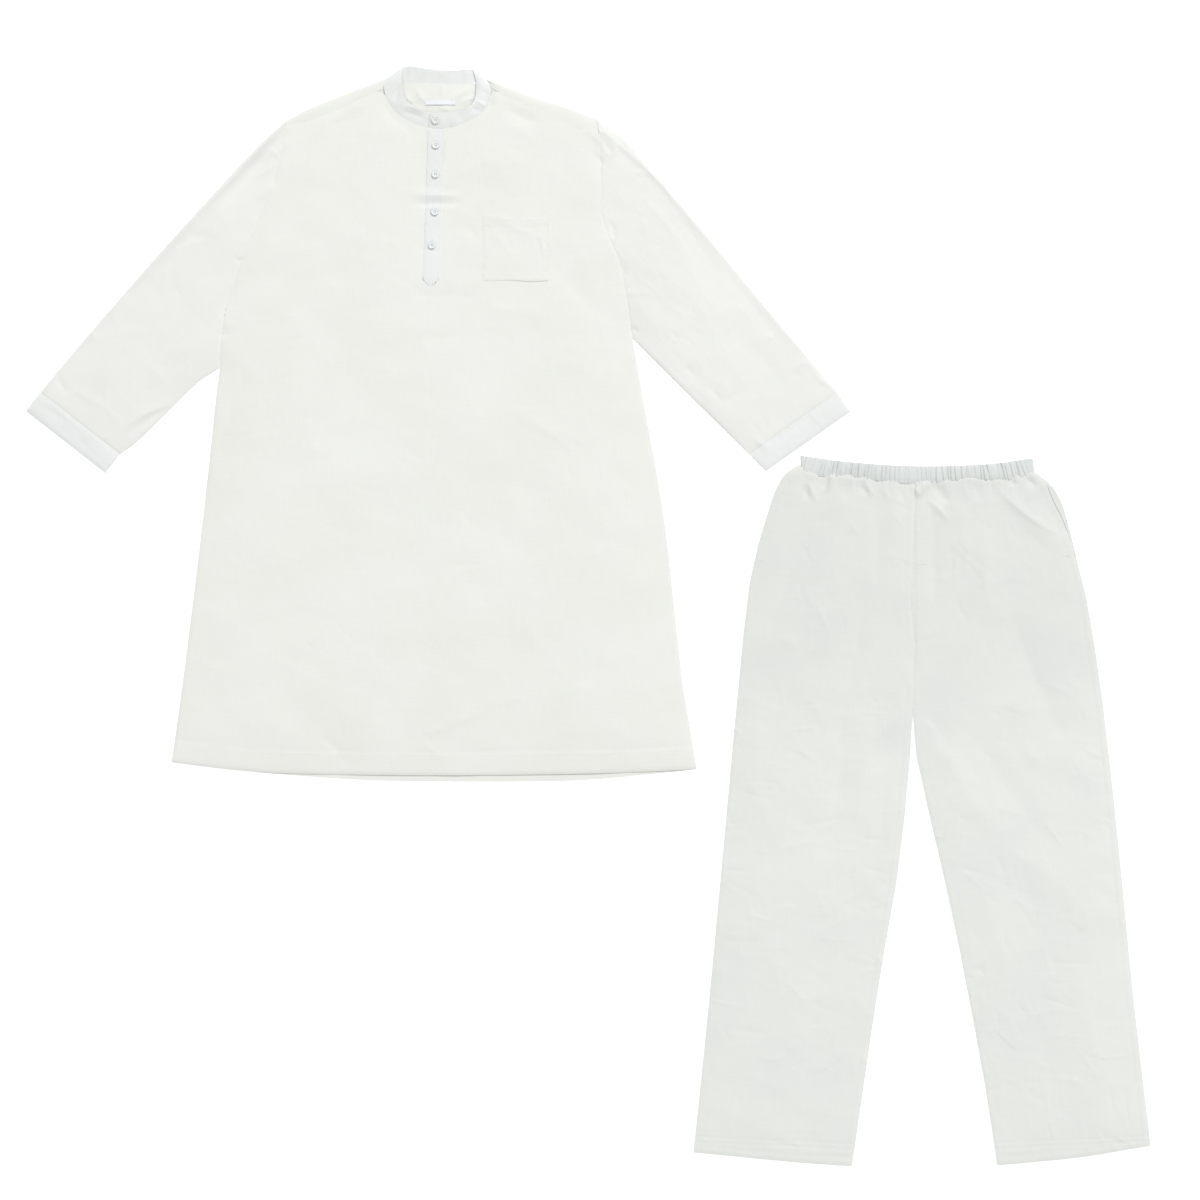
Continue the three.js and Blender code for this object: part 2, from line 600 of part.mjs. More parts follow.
function makeButton() {
  const { across, thick, rim, dish, foot, brow, bevel, bowl } = BUTTON;
  const radius = across / 2;
  const profile = [
    [0, 0], [radius - rim, 0], [radius, thick * foot], [radius, thick * brow], [radius - rim * bevel, thick],
    [radius - rim, thick], [radius - rim * bowl, thick - dish], [0, thick - dish],
  ].map(([x, y]) => new THREE.Vector2(x, y));
  return new THREE.LatheGeometry(profile, ROUND).rotateX(Math.PI / 2);
}

// Lays a button flat on what is under it, tilted as that is
function sewButton(name, { x, y }, under) {
  const reach = BUTTON.across / 2;
  const slope = (under(x, y + reach) - under(x, y - reach)) / (2 * reach);
  const button = place(thobe, name, makeButton(), PEARL, SATIN);
  const highest = Math.max(under(x - reach, y), under(x, y), under(x + reach, y));
  button.rotation.x = Math.atan(slope);
  button.position.set(x, y, highest + 2 * SEAM);
}

const front = makeFront();
const collar = makeCollar(front.outer.at(-1).slice(SHOULDER_COLUMNS, -SHOULDER_COLUMNS));
const placket = makePlacket(onPanel(front.outer));
place(thobe, "thobe_front", front.geometry, OFF_WHITE, MATT);
place(thobe, "thobe_back", makeBack(), OFF_WHITE, MATT);
for (const side of SIDES) {
  place(thobe, `thobe_sleeve_${side}`, makeSleeve(side), OFF_WHITE, MATT);
  place(thobe, `thobe_cuff_${side}`, makeCuff(side), COOL_WHITE, MATT);
}
place(thobe, "thobe_collar", collar.geometry, COOL_WHITE, MATT);
place(thobe, "thobe_placket", placket.geometry, COOL_WHITE, MATT);
place(thobe, "thobe_pocket", makePocket(onPanel(front.outer)), OFF_WHITE, MATT);
place(thobe, "thobe_label", makeLabel(), COOL_WHITE, MATT);
BUTTONS.forEach((spot, i) => {
  sewButton(`thobe_button_${i + 1}`, spot, onPanel(i ? placket.outer : collar.outer));
});

// Trousers
const trousers = new THREE.Group();
const trousersTop = drapeOver(
  outlineOf(
    [TROUSER_HEM.right], [INSEAM.right], [INSEAM.left, true], [TROUSER_HEM.left], [OUTSEAM.left],
    [WAIST_SEAM.left, true], [WAIST_SEAM.right, true], [OUTSEAM.right, true],
  ),
  TROUSER_FOLDS,
);

// How high each gather is beside the others
const unevenness = ({ uneven, pace }, i) => 1 - uneven + uneven * Math.sin(i * pace);

// One leg panel, in rows that are closer near the gathered waist
function legPlan(side, outseam, columns) {
  const out = curve(outseam);
  const leg = curve(INSEAM[side]);
  const rise = curve(CENTRE_SEAM);
  const inner = joined(leg, rise, 1 - CROTCH);
  const waist = curve(WAIST_SEAM[side]);
  const hem = curve(TROUSER_HEM[side]);
  const clear = side === "left" ? SEAM : 0;
  const edges = [(t) => out.getPointAt(t), (t) => inner(t).add(new THREE.Vector2(clear, 0))];
  if (side === "left") edges.reverse();
  const plan = sheet((s) => hem.getPointAt(s), (s) => waist.getPointAt(s), edges[0], edges[1]);
  return [...TROUSER_DROPS].reverse().map((drop) => steps(columns).map((s) => plan(s, 1 - drop)));
}

// Front leg: the folds that the gathers throw run down from the waist and die out
function makeTrouserFront(side) {
  const columns = 2 * PUFFS.each;
  const plan = legPlan(side, side === "left" ? POCKET_MOUTH : OUTSEAM[side], columns);
  const outer = plan.map((row) => {
    const drop = plan.at(-1)[columns / 2].y - row[columns / 2].y;
    return row.map((p, i) => {
      const uneven = unevenness(PUFFS, i);
      const puff = i % 2 ? PUFFS.rise * uneven * Math.exp(-drop / PUFFS.fade) : 0;
      return new THREE.Vector3(p.x, p.y, trousersTop(p.x, p.y) + puff + (p.y < HEM.depth ? HEM.rise : 0));
    });
  });
  const inner = outer.map((row) => row.map((p) => new THREE.Vector3(p.x, p.y, p.z - CLOTH)));
  return { outer, geometry: wall(outer, inner) };
}

function makeTrouserBack(side) {
  const plan = legPlan(side, OUTSEAM[side], BACK_LEG_COLUMNS);
  plan.at(-1).forEach((p) => p.setY(p.y - BACK_EASE));
  return layer(plan, () => CLOTH, CLOTH).geometry;
}

// Waistband: a flattened ring, gathered across the front, with a plain back that lies flat
function makeWaistband(waistEdge) {
  const seam = alongEdge(waistEdge);
  const top = curve(BAND_TOP);
  const frontSteps = steps(2 * GATHERS);
  const backSteps = steps(GATHERS);
  const outer = [];
  const inner = [];
  for (const t of BAND_LEVELS) {
    const at = (f) => {
      const leaning = f - GATHER.lean * Math.sin(2 * Math.PI * f) * t;
      return seam.getPoint(f).lerp(top.getPointAt(leaning), BAND_SEAM + t * (1 - BAND_SEAM));
    };
    const puffed = GATHER.puff * Math.sin(Math.PI * t);
    const over = (f, z, inset = 0) => {
      const p = at(f);
      const inward = f === 0 ? inset : f === 1 ? -inset : 0;
      return new THREE.Vector3(p.x + inward, p.y, z);
    };
    const crest = BAND + SEAM / 2;
    const gathered = frontSteps.map((f, i) => {
      const ends = Math.min(1, Math.min(f, 1 - f) / BAND_ENDS);
      const uneven = unevenness(GATHER, i);
      return over(f, 2 * BAND + SEAM + (puffed + (i % 2 ? GATHER.rise * uneven : 0)) * ends, crest);
    });
    outer.push([over(0, crest), ...gathered, over(1, crest), ...backSteps.map((f) => over(1 - f, 0, crest))]);
    inner.push([
      over(0, crest, BAND), ...frontSteps.map((f) => over(f, BAND + SEAM, crest)),
      over(1, crest, BAND), ...backSteps.map((f) => over(1 - f, BAND, crest)),
    ]);
  }
  return wall(outer, inner, { closed: true });
}

// Pocket facing: the strip of the pocket's back that shows outside the wearer's left front
function makeFacing() {
  const side = curve(OUTSEAM.left);
  const mouth = curve(POCKET_MOUTH);
  const { top, foot } = FACING;
  const level = (edge, y) => {
    const share = steps(SEARCH_STEPS).find((t) => edge.getPointAt(t).y >= y);
    return edge.getPointAt(share);
  };
  const plan = steps(FACING_ROWS).map((t) => {
    const y = THREE.MathUtils.lerp(foot, top, t);
    const inside = level(mouth, y);
    return [inside.add(new THREE.Vector2(2 * SEAM, 0)), level(side, y)];
  });
  return layer(plan, () => LAID, CLOTH).geometry;
}

const waistEdge = [];
for (const side of SIDES) {
  const leg = makeTrouserFront(side);
  place(trousers, `trousers_front_${side}`, leg.geometry, TROUSER_WHITE, MATT);
  place(trousers, `trousers_back_${side}`, makeTrouserBack(side), TROUSER_WHITE, MATT);
  waistEdge.push(...leg.outer.at(-1));
}
place(trousers, "trousers_waistband", makeWaistband(waistEdge), COOL_WHITE, MATT);
place(trousers, "trousers_pocket_facing", makeFacing(), TROUSER_WHITE, MATT);

thobe.position.set(THOBE_AT.x, THOBE_AT.y, 0);
trousers.position.set(TROUSERS_AT.x, TROUSERS_AT.y, 0);
const set = new THREE.Group();
set.add(thobe, trousers);

export default set;
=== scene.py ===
import math
import random

import bmesh
import bpy
import numpy as np
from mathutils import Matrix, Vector, noise
from mathutils.bvhtree import BVHTree
from mathutils.kdtree import KDTree


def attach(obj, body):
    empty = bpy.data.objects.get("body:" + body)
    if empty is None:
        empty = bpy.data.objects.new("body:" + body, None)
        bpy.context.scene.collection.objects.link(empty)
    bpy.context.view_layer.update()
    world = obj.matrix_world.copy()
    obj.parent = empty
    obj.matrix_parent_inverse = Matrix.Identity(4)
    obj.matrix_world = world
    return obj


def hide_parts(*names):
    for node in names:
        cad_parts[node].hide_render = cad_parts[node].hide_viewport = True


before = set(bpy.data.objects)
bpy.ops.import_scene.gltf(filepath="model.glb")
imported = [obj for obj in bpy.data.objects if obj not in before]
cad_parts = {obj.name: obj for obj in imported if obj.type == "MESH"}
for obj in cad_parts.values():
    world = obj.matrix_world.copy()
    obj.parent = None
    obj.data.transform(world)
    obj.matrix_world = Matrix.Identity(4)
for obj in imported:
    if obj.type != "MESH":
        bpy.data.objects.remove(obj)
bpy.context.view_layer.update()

# Camera, floor and light
# A cut-out shot: the set lies on a white table and a long lens looks straight down at it.
# The light is even and soft, and comes a little more from the collar and the wearer's left.
MM = 0.001
FRAME_CENTRE, FRAME_WIDE, CLOTH_HIGH = (17.9 * MM, 23.2 * MM), 1764 * MM, 4 * MM
LENS, SENSOR = 100, 36
camera_data = bpy.data.cameras.new("camera")
camera_data.lens = LENS
camera_data.sensor_width = SENSOR
camera = bpy.data.objects.new("camera", camera_data)
bpy.context.scene.collection.objects.link(camera)
camera.location = (*FRAME_CENTRE, FRAME_WIDE * LENS / SENSOR + CLOTH_HIGH)
bpy.context.scene.camera = camera


def linear(code):
    """A colour written as sRGB hex, as the shader wants it."""
    parts = [int(code[i:i + 2], 16) / 255 for i in (1, 3, 5)]
    return [p / 12.92 if p <= 0.04045 else ((p + 0.055) / 1.055) ** 2.4 for p in parts] + [1]


def add_node(material, kind, inputs=None, **settings):
    """Adds a shader node, with its settings and with values or links for its inputs."""
    node = material.node_tree.nodes.new(kind)
    for key, value in settings.items():
        setattr(node, key, value)
    for key, value in (inputs or {}).items():
        if isinstance(value, bpy.types.NodeSocket):
            material.node_tree.links.new(value, node.inputs[key])
        else:
            node.inputs[key].default_value = value
    return node


def new_material(name):
    """An empty node material and its surface shader, already on the output."""
    material = bpy.data.materials.new(name)
    material.use_nodes = True
    material.node_tree.nodes.clear()
    shader = add_node(material, "ShaderNodeBsdfPrincipled")
    add_node(material, "ShaderNodeOutputMaterial", {"Surface": shader.outputs[0]})
    return material, shader


TABLE_WIDE, TABLE_GAP = 14, 0.2 * MM
bpy.ops.object.select_all(action="DESELECT")
bpy.ops.mesh.primitive_plane_add(size=TABLE_WIDE, location=(0, 0, -TABLE_GAP))
floor = bpy.context.object
floor.name = "table_top"
white_acrylic, shader = new_material("lit_white_acrylic")
shader.inputs["Base Color"].default_value = linear("#f8f8f8")
shader.inputs["Roughness"].default_value = 0.9
shader.inputs["Emission Color"].default_value = (1, 1, 1, 1)
shader.inputs["Emission Strength"].default_value = 0.42
floor.data.materials.append(white_acrylic)

world = bpy.data.worlds.new("studio")
bpy.context.scene.world = world
world.use_nodes = True
world.node_tree.nodes["Background"].inputs["Color"].default_value = (1, 1, 1, 1)
world.node_tree.nodes["Background"].inputs["Strength"].default_value = 0.5
KEY_FAR = 14
key = bpy.data.lights.new("key", "AREA")
key.size = 5
key.energy = 1.6 * math.pi * KEY_FAR**2
overhead = bpy.data.lights.new("overhead", "SUN")
overhead.energy = 0.6
overhead.angle = math.radians(90)
for lamp_data, azimuth, elevation in ((key, -28, 50), (overhead, 0, 89)):
    lamp = bpy.data.objects.new(lamp_data.name, lamp_data)
    bpy.context.scene.collection.objects.link(lamp)
    a, e = math.radians(azimuth), math.radians(elevation)
    towards = Vector((-math.sin(a) * math.cos(e), math.cos(a) * math.cos(e), math.sin(e)))
    lamp.location = towards * KEY_FAR
    lamp.rotation_euler = towards.to_track_quat("Z", "Y").to_euler()
bpy.context.scene.view_settings.view_transform = "Standard"

# Thobe front
# One panel of plain-weave cotton with a slub yarn, from the hem to the shoulder seams, with a neckline
# and a slit under the placket. It lies on the back, creased by folding and by the hand that spread it.
THOBE_FOOT = (-224.7, -228.2)
CREASE_COLUMNS = ("x", "y", "to_x", "to_y", "bend", "rise", "spread", "lean")
THOBE_CREASES = [
    # at the shoulder seams and the neck
    (100, 978, 158, 950, -3, -2.2, 9), (104, 956, 160, 925, -3, 0.9, 9), (-100, 985, -186, 925, -5, 1.0, 7, -0.4),
    (-92, 978, -160, 948, 4, -0.9, 7), (-110, 960, -150, 900, 3, 0.8, 8), (-84, 960, -130, 880, 6, 0.9, 9),
    (16, 862, 104, 900, 8, 1.4, 13), (30, 830, 110, 862, 6, -1.0, 14), (40, 800, 66, 778, 2, -0.9, 6),
    (60, 828, 120, 812, -6, 0.8, 7), (34, 760, 70, 800, 4, 0.8, 8), (100, 800, 150, 780, 5, 0.8, 7),
    (219, 944, 258, 896, 6, 1.3, 8, 0.5), (232, 930, 246, 868, -3, -1.0, 8), (-194, 940, -257, 900, 5, 1.1, 9, -0.4),
    (-60, 960, -36, 905, 3, 0.6, 8), (74, 950, 66, 905, -3, 0.6, 8), (30, 935, 62, 925, 2, 0.5, 6),
    # across the placket and beside it
    (90, 1010, 84, 980, 2, 2.4, 6), (-36, 847, 44, 845, 0, 2.0, 4.5), (-40, 834, 44, 835, 0, -2.4, 4.5),
    (-30, 829, 24, 831, 1, -0.8, 2.2), (-22, 858, 16, 858, 1, -0.7, 3), (-30, 820, 24, 820, 3, -0.9, 4),
    (-16, 866, 12, 866, 0, -0.4, 2.5), (-34, 765, 14, 762, 2, -0.7, 4, 0.3), (12, 830, 60, 806, 3, 0.7, 8),
    # on and beside the pocket
    (78, 800, 118, 742, 4, 0.6, 6), (150, 792, 160, 752, 3, 1.0, 5, 0.5), (96, 770, 146, 776, -3, -0.5, 8),
    (168, 756, 280, 650, -12, -1.3, 13, 0.3), (190, 800, 236, 706, 6, 0.7, 14), (182, 880, 236, 842, 4, -0.6, 12),
    # across the chest
    (-58, 695, 80, 695, 4, -0.9, 8, 0.3), (-40, 640, 46, 640, -3, -0.7, 8), (-180, 800, -90, 770, 6, 0.6, 14),
    (-210, 720, -120, 735, -5, -0.6, 13), (-120, 860, -60, 800, 5, 0.5, 12), (60, 690, 150, 672, -4, 0.6, 12),
    # down the body
    (112, 523, 214, 466, 5, 1.1, 9, 0.3), (224, 300, 247, 334, 2, 0.9, 6), (218, 120, 247, 184, -4, -0.9, 7),
    (-240, 560, -150, 520, -6, 0.6, 16), (-90, 560, 30, 540, 6, -0.5, 18), (-200, 420, -60, 445, -8, 0.6, 20),
    (20, 430, 170, 400, 8, -0.6, 20), (-280, 330, -180, 300, 5, 0.6, 18), (-120, 320, 10, 350, 8, 0.5, 22),
    (60, 320, 200, 290, -8, 0.5, 20), (-300, 200, -200, 220, 5, -0.5, 18), (-150, 230, -20, 200, -8, 0.5, 22),
    (230, 420, 290, 380, 4, 0.6, 14), (-255, 640, -210, 540, 4, 0.6, 16), (250, 560, 210, 480, -4, 0.5, 16),
    (-60, 480, 40, 470, 4, 0.4, 12),
    # at the hem
    (-180, 59, -124, 0, 6, -0.8, 6, 0.4), (-128, 31, -60, 88, -6, 0.7, 7), (-44, 50, 74, 94, -8, 1.1, 7, 0.4),
    (72, 92, 148, 110, 4, 0.9, 7, 0.4), (-22, 50, 22, 15, -4, 0.7, 6), (246, 54, 286, 66, 3, 0.8, 6),
    (-250, 40, -200, 70, -4, 0.5, 8), (180, 30, 220, 70, 3, 0.5, 8),
    # on the wearer's right sleeve
    (-190, 986, -336, 830, -1, 6.4, 7), (-290, 884, -450, 706, -1, 4.4, 7), (-420, 740, -580, 555, -1, 2.2, 7),
    (-214, 944, -320, 826, -1, -2.2, 8), (-290, 862, -440, 694, 0, -1.6, 8), (-236, 894, -262, 872, 2, 1.6, 4),
    (-236, 868, -262, 840, 3, 1.3, 5), (-420, 700, -520, 590, 4, -0.8, 8), (-262, 858, -330, 770, -4, 0.9, 9),
    (-250, 914, -228, 900, 3, 1.0, 3.5), (-364, 785, -340, 792, -3, -1.0, 4), (-396, 746, -340, 779, 8, 1.0, 5),
    (-297, 755, -279, 751, -3, -1.2, 4), (-293, 724, -311, 668, 4, -1.5, 8), (-322, 648, -288, 657, 3, 0.8, 3),
    (-318, 640, -296, 646, -2, -0.9, 3), (-463, 498, -380, 541, 6, 1.8, 4, 0.3), (-452, 490, -390, 533, 4, -1.8, 6),
    (-586, 538, -544, 512, 4, -1.3, 8), (-524, 487, -512, 472, 2, -0.8, 7), (-557, 590, -538, 552, -3, -1.1, 4),
    (-496, 646, -548, 598, 5, -0.9, 12), (-470, 668, -504, 640, 4, -0.7, 10), (-330, 690, -420, 560, 10, 0.8, 18),
    (-400, 700, -500, 580, -8, 0.7, 16), (-430, 600, -390, 560, 4, 0.6, 7), (-260, 830, -300, 740, 6, 0.8, 12),
    (-276, 790, -262, 760, 2, -0.7, 5), (-420, 560, -404, 590, 2, 0.6, 5), (-540, 570, -470, 530, -4, 0.9, 6),
    # on the wearer's left sleeve
    (214, 962, 366, 824, 8, 1.8, 6), (306, 894, 466, 706, 4, 1.6, 6), (426, 748, 576, 570, 2, 1.0, 6),
    (252, 926, 350, 830, 7, -1.3, 9), (334, 846, 420, 728, 2, -1.0, 9), (298, 850, 392, 724, 6, 1.0, 7),
    (420, 740, 520, 610, 3, -0.9, 8), (300, 900, 390, 790, 4, 0.8, 4), (228, 938, 264, 924, 8, 1.7, 5),
    (262, 926, 261, 900, 3, 1.5, 4), (250, 928, 258, 908, -2, -1.3, 5), (236, 908, 246, 886, 2, -1.6, 4),
    (257, 808, 263, 782, 2, -1.7, 5), (273, 752, 278, 722, 2, -1.3, 5), (290, 654, 297, 642, 0, -1.8, 5),
    (284, 875, 318, 877, 3, 1.1, 3), (343, 642, 382, 626, 2, -0.5, 3), (364, 598, 384, 574, 2, -1.1, 6),
    (400, 564, 426, 538, 2, -1.2, 6), (424, 538, 458, 564, 2, -0.9, 5), (517, 578, 566, 578, 22, 1.0, 5),
    (552, 590, 590, 560, -3, 1.2, 4), (524, 580, 540, 580, 2, -0.9, 5), (470, 466, 592, 556, -3, -1.3, 5),
    (472, 640, 500, 636, 2, 0.6, 4), (300, 820, 380, 660, -8, 0.8, 16), (360, 740, 470, 560, -8, 0.8, 16),
    (420, 680, 530, 560, -6, -0.7, 14), (282, 700, 330, 640, 5, 0.8, 10), (466, 490, 492, 470, 2, 1.4, 4),
    (428, 470, 466, 452, 2, -0.9, 6), (266, 860, 280, 820, 3, 0.9, 8),
    # where the cloth is pressed down beside the collar
    (-80, 990, -30, 938, -7, -1.0, 4.5), (84, 990, 60, 956, 4, -0.6, 5), (-96, 1000, -120, 960, 2, 0.8, 6),
    (-70, 956, -100, 905, 3, 0.6, 5), (-20, 930, -24, 890, 1, -0.5, 4), (40, 936, 52, 900, 2, 0.6, 5),
]


def small_creases(seed, count, low, high, heading, most):
    """Rows for the many short faint creases between the main ones, from a seeded list, so that they stay
    where they are. Most of them run near one heading in degrees."""
    draw = random.Random(seed)
    rows = []
    for _ in range(count):
        x, y = draw.uniform(low[0], high[0]), draw.uniform(low[1], high[1])
        turn, half = math.radians(draw.gauss(heading, 38)), draw.uniform(8, 36)
        across, up = half * math.cos(turn), half * math.sin(turn)
        rise = draw.choice((-1, 1)) * draw.uniform(0.3, 1) * most
        spread, lean = draw.uniform(1.8, 4.5), draw.uniform(-0.4, 0.4)
        rows.append((x - across, y - up, x + across, y + up, draw.uniform(-3, 3), rise, spread, lean))
    return rows


THOBE_CREASES += small_creases(3, 280, (-350, 0), (350, 950), 15, 0.45)
THOBE_CREASES += small_creases(5, 80, (-560, 480), (-230, 930), 50, 0.5)
THOBE_CREASES += small_creases(8, 80, (250, 470), (570, 930), -50, 0.45)


def crease_relief(x, y, creases):
    """How far a table of creases lifts or sinks the cloth at places in millimetres.
    Each runs between two points, bowed sideways, and dies out at both ends. A lean, where a row has one,
    makes one flank steeper."""
    lift = np.zeros_like(x)
    for row in creases:
        c = {"lean": 0} | dict(zip(CREASE_COLUMNS, row))
        along_x, along_y = c["to_x"] - c["x"], c["to_y"] - c["y"]
        length = math.hypot(along_x, along_y)
        from_x, from_y = x - c["x"], y - c["y"]
        reach = length / 2 + abs(c["bend"]) + 4 * c["spread"]
        near = np.hypot(from_x - along_x / 2, from_y - along_y / 2) < reach
        from_x, from_y = from_x[near], from_y[near]
        t = np.clip((from_x * along_x + from_y * along_y) / length**2, 0, 1)
        across = (from_y * along_x - from_x * along_y) / length - 4 * c["bend"] * t * (1 - t)
        flank = c["spread"] * (1 + c["lean"] * np.tanh(across / 2))
        lift[near] += c["rise"] * np.sin(math.pi * t) * np.exp(-(np.abs(across / flank) ** 1.4))
    return lift


def rumple(x, y, slow=0.95, sharp=0.3, quick=0.13):
    """The unevenness of cloth that has been folded away: soft waves, a net of faint sharp creases
    along them, and small puckers."""
    lift = np.empty_like(x)
    for i, (a, b) in enumerate(zip(x.tolist(), y.tolist())):
        crease = 1 - abs(noise.noise((a / 44 + b / 120, b / 37 - a / 150, 1.7)))
        lift[i] = (
            slow * noise.noise((a / 62, b / 50, 3.1)) + sharp * crease**5 + quick * noise.noise((a / 11, b / 13, 7.7))
        )
    return lift


def pick(piece):
    """Makes one piece the only selected and the active one."""
    bpy.ops.object.select_all(action="DESELECT")
    bpy.context.view_layer.objects.active = piece
    piece.select_set(True)


def edit(piece):
    """Opens one piece in edit mode, with nothing selected."""
    pick(piece)
    bpy.ops.object.mode_set(mode="EDIT")
    bpy.ops.mesh.select_all(action="DESELECT")
    return bmesh.from_edit_mesh(piece.data)


def apply_modifier(piece, kind, **settings):
    """Adds a modifier with its settings and applies it."""
    pick(piece)
    modifier = piece.modifiers.new(kind.lower(), kind)
    for key, value in settings.items():
        setattr(modifier, key, value)
    bpy.ops.object.modifier_apply(modifier=modifier.name)


def open_copy(node, name):
    """A copy of a solid's mesh as a new bare piece, with its points welded, and open in edit mode."""
    piece = bpy.data.objects.new(name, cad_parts[node].data.copy())
    piece.data.materials.clear()
    bpy.context.scene.collection.objects.link(piece)
    mesh = edit(piece)
    bmesh.ops.remove_doubles(mesh, verts=mesh.verts, dist=0.01 * MM)
    return piece, mesh


def join_triangles():
    """Joins the triangles of the mesh in edit mode two by two."""
    bpy.ops.mesh.select_all(action="SELECT")
    bpy.ops.mesh.tris_convert_to_quads(face_threshold=math.pi, shape_threshold=math.pi)


def outer_sheet(node, name, longest, middle=None, smooth=2, way="CATMULL_CLARK"):
    """The outer face of a cloth solid as one sheet: the top face of a panel, or both faces of a flattened
    tube whose hollow is at the height middle. Its long edges are divided, and then it is smoothed."""
    piece, mesh = open_copy(node, name)
    mesh.normal_update()
    for face in mesh.faces:
        height, up = face.calc_center_median().z, face.normal.z
        if middle is None:
            outside = up > 0.4
        else:
            outside = (height > middle + 0.25 * MM and up > 0.4) or (height < middle - 0.25 * MM and up < -0.4)
        face.select_set(not outside)
    bmesh.update_edit_mesh(piece.data)
    bpy.ops.mesh.delete(type="FACE")
    join_triangles()
    for _ in range(4):
        mesh = bmesh.from_edit_mesh(piece.data)
        long_edges = [edge for edge in mesh.edges if edge.calc_length() > longest * MM]
        if not long_edges:
            break
        bpy.ops.mesh.select_all(action="DESELECT")
        bpy.ops.mesh.select_mode(type="EDGE")
        for edge in long_edges:
            edge.select_set(True)
        bpy.ops.mesh.subdivide(number_cuts=1, quadcorner="INNERVERT")
        bpy.ops.mesh.select_mode(type="VERT")
    bpy.ops.object.mode_set(mode="OBJECT")
    apply_modifier(
        piece, "SUBSURF", levels=smooth, render_levels=smooth, boundary_smooth="PRESERVE_CORNERS", subdivision_type=way
    )
    return piece


def points_of(piece):
    """A piece's points as rows of x, y, z in millimetres."""
    flat = np.empty(len(piece.data.vertices) * 3)
    piece.data.vertices.foreach_get("co", flat)
    return flat.reshape(-1, 3) / MM


def on_garment(points, foot):
    """The x and y of points in a garment's own millimetres, from the middle of its lower edge."""
    return points[:, 0] - foot[0], points[:, 1] - foot[1]


def set_points(piece, points):
    """Puts a piece's points where the rows say, in millimetres."""
    piece.data.vertices.foreach_set("co", (points * MM).ravel())
    piece.data.update()


def hem_rings(piece, *widths):
    """Adds narrow rings of faces along a sheet's open edge, so that it can be rolled and stitched there."""
    edit(piece)
    bpy.ops.mesh.select_all(action="SELECT")
    for width in widths:
        bpy.ops.mesh.inset(thickness=width * MM, use_boundary=True, use_even_offset=True)
    bpy.ops.object.mode_set(mode="OBJECT")


def refine(piece, foot, relief, least=2.6, miss=0.03, passes=2):
    """Divides the edges whose middle would miss the relief that is about to be laid on the sheet."""
    for _ in range(passes):
        mesh = edit(piece)
        bpy.ops.mesh.select_mode(type="EDGE")
        at = np.array([vert.co for vert in mesh.verts]) / MM - [foot[0], foot[1], 0]
        ends = np.array([(edge.verts[0].index, edge.verts[1].index) for edge in mesh.edges])
        first, second = at[ends[:, 0]], at[ends[:, 1]]
        middle = (first + second) / 2
        heights = [relief(p[:, 0], p[:, 1]) for p in (first, second, middle)]
        wrong = np.abs(heights[2] - (heights[0] + heights[1]) / 2) > miss
        wrong &= np.linalg.norm(first - second, axis=1) > least
        for edge, chosen in zip(mesh.edges, wrong):
            edge.select_set(bool(chosen))
        bpy.ops.mesh.subdivide(number_cuts=1, quadcorner="INNERVERT")
        bpy.ops.mesh.select_mode(type="VERT")
        bpy.ops.object.mode_set(mode="OBJECT")


def open_edge(piece):
    """The points on a sheet's open edge, each with the way out of the cloth there."""
    mesh = bmesh.new()
    mesh.from_mesh(piece.data)
    ways = {}
    for edge in mesh.edges:
        if edge.is_boundary:
            first, second = edge.verts
            side = first.co - second.co
            along = side.normalized()
            inward = edge.link_faces[0].calc_center_median() - (first.co + second.co) / 2
            outward = (inward.dot(along) * along - inward).normalized() * side.length
            for vert in edge.verts:
                ways[vert.index] = ways.get(vert.index, Vector()) + outward
    mesh.free()
    return {i: way.normalized() for i, way in ways.items() if way.length > 0}


def bell(value, wide):
    """1 where the value is 0, and falling off to both sides of it within about twice wide."""
    return np.exp(-((value / wide) ** 2))


def at_places(value, x, y):
    """A number for every place: the one given, or what a function of x and y gives there."""
    return value(x, y) if callable(value) else np.full_like(x, value)


SEAM_ROLL, ABOVE_BACK = 0.9, 1.6


def lay_creases(
    piece, foot, creases, base=None, lift=0, roll=SEAM_ROLL, wide=1.5, reach=0.5, extra=None, rough=1, sway=1.8
):
    """Adds the creases, the rumple and a broad sway to a sheet's upper face, and rolls its sewn edges down
    into the seam, where it also reaches out to its neighbour. On a tube only what lies above base moves.
    roll and reach are numbers, or functions of x and y."""
    points = points_of(piece)
    x, y = on_garment(points, foot)
    share = np.ones(len(points)) if base is None else np.clip((points[:, 2] - base) / 1.2, 0, 1)
    ways = open_edge(piece)
    tree = KDTree(len(ways))
    for i in ways:
        tree.insert((points[i][0], points[i][1], 0), i)
    tree.balance()
    from_rim = np.array([tree.find((p[0], p[1], 0))[2] for p in points])
    # the seam's puckers stand 0.16 mm high and are strongest 5 mm in from the edge
    pucker = 0.16 * np.sin((x + y) / 2.3 + 2 * np.sin(y / 31)) * np.exp(-np.abs(from_rim - 5) / 4)
    height = crease_relief(x, y, creases) + rough * rumple(x, y) + lift + rough * pucker
    height -= at_places(roll, x, y) * (np.exp(-from_rim / wide) + 0.5 * bell(from_rim, 0.8))
    broad = np.array([noise.noise((a / 105, b / 190, 5.5)) for a, b in zip(x.tolist(), y.tolist())])
    height += rough * sway * (0.4 + broad) * (1 - np.exp(-from_rim / 30))
    if extra is not None:
        height = height + extra(x, y, from_rim)
    points[:, 2] += share * height
    reaches = at_places(reach, x, y)
    for i, way in ways.items():
        points[i] += reaches[i] * np.array(way)
    if base is None:
        points[:, 2] = np.maximum(points[:, 2], ABOVE_BACK)
    set_points(piece, points)


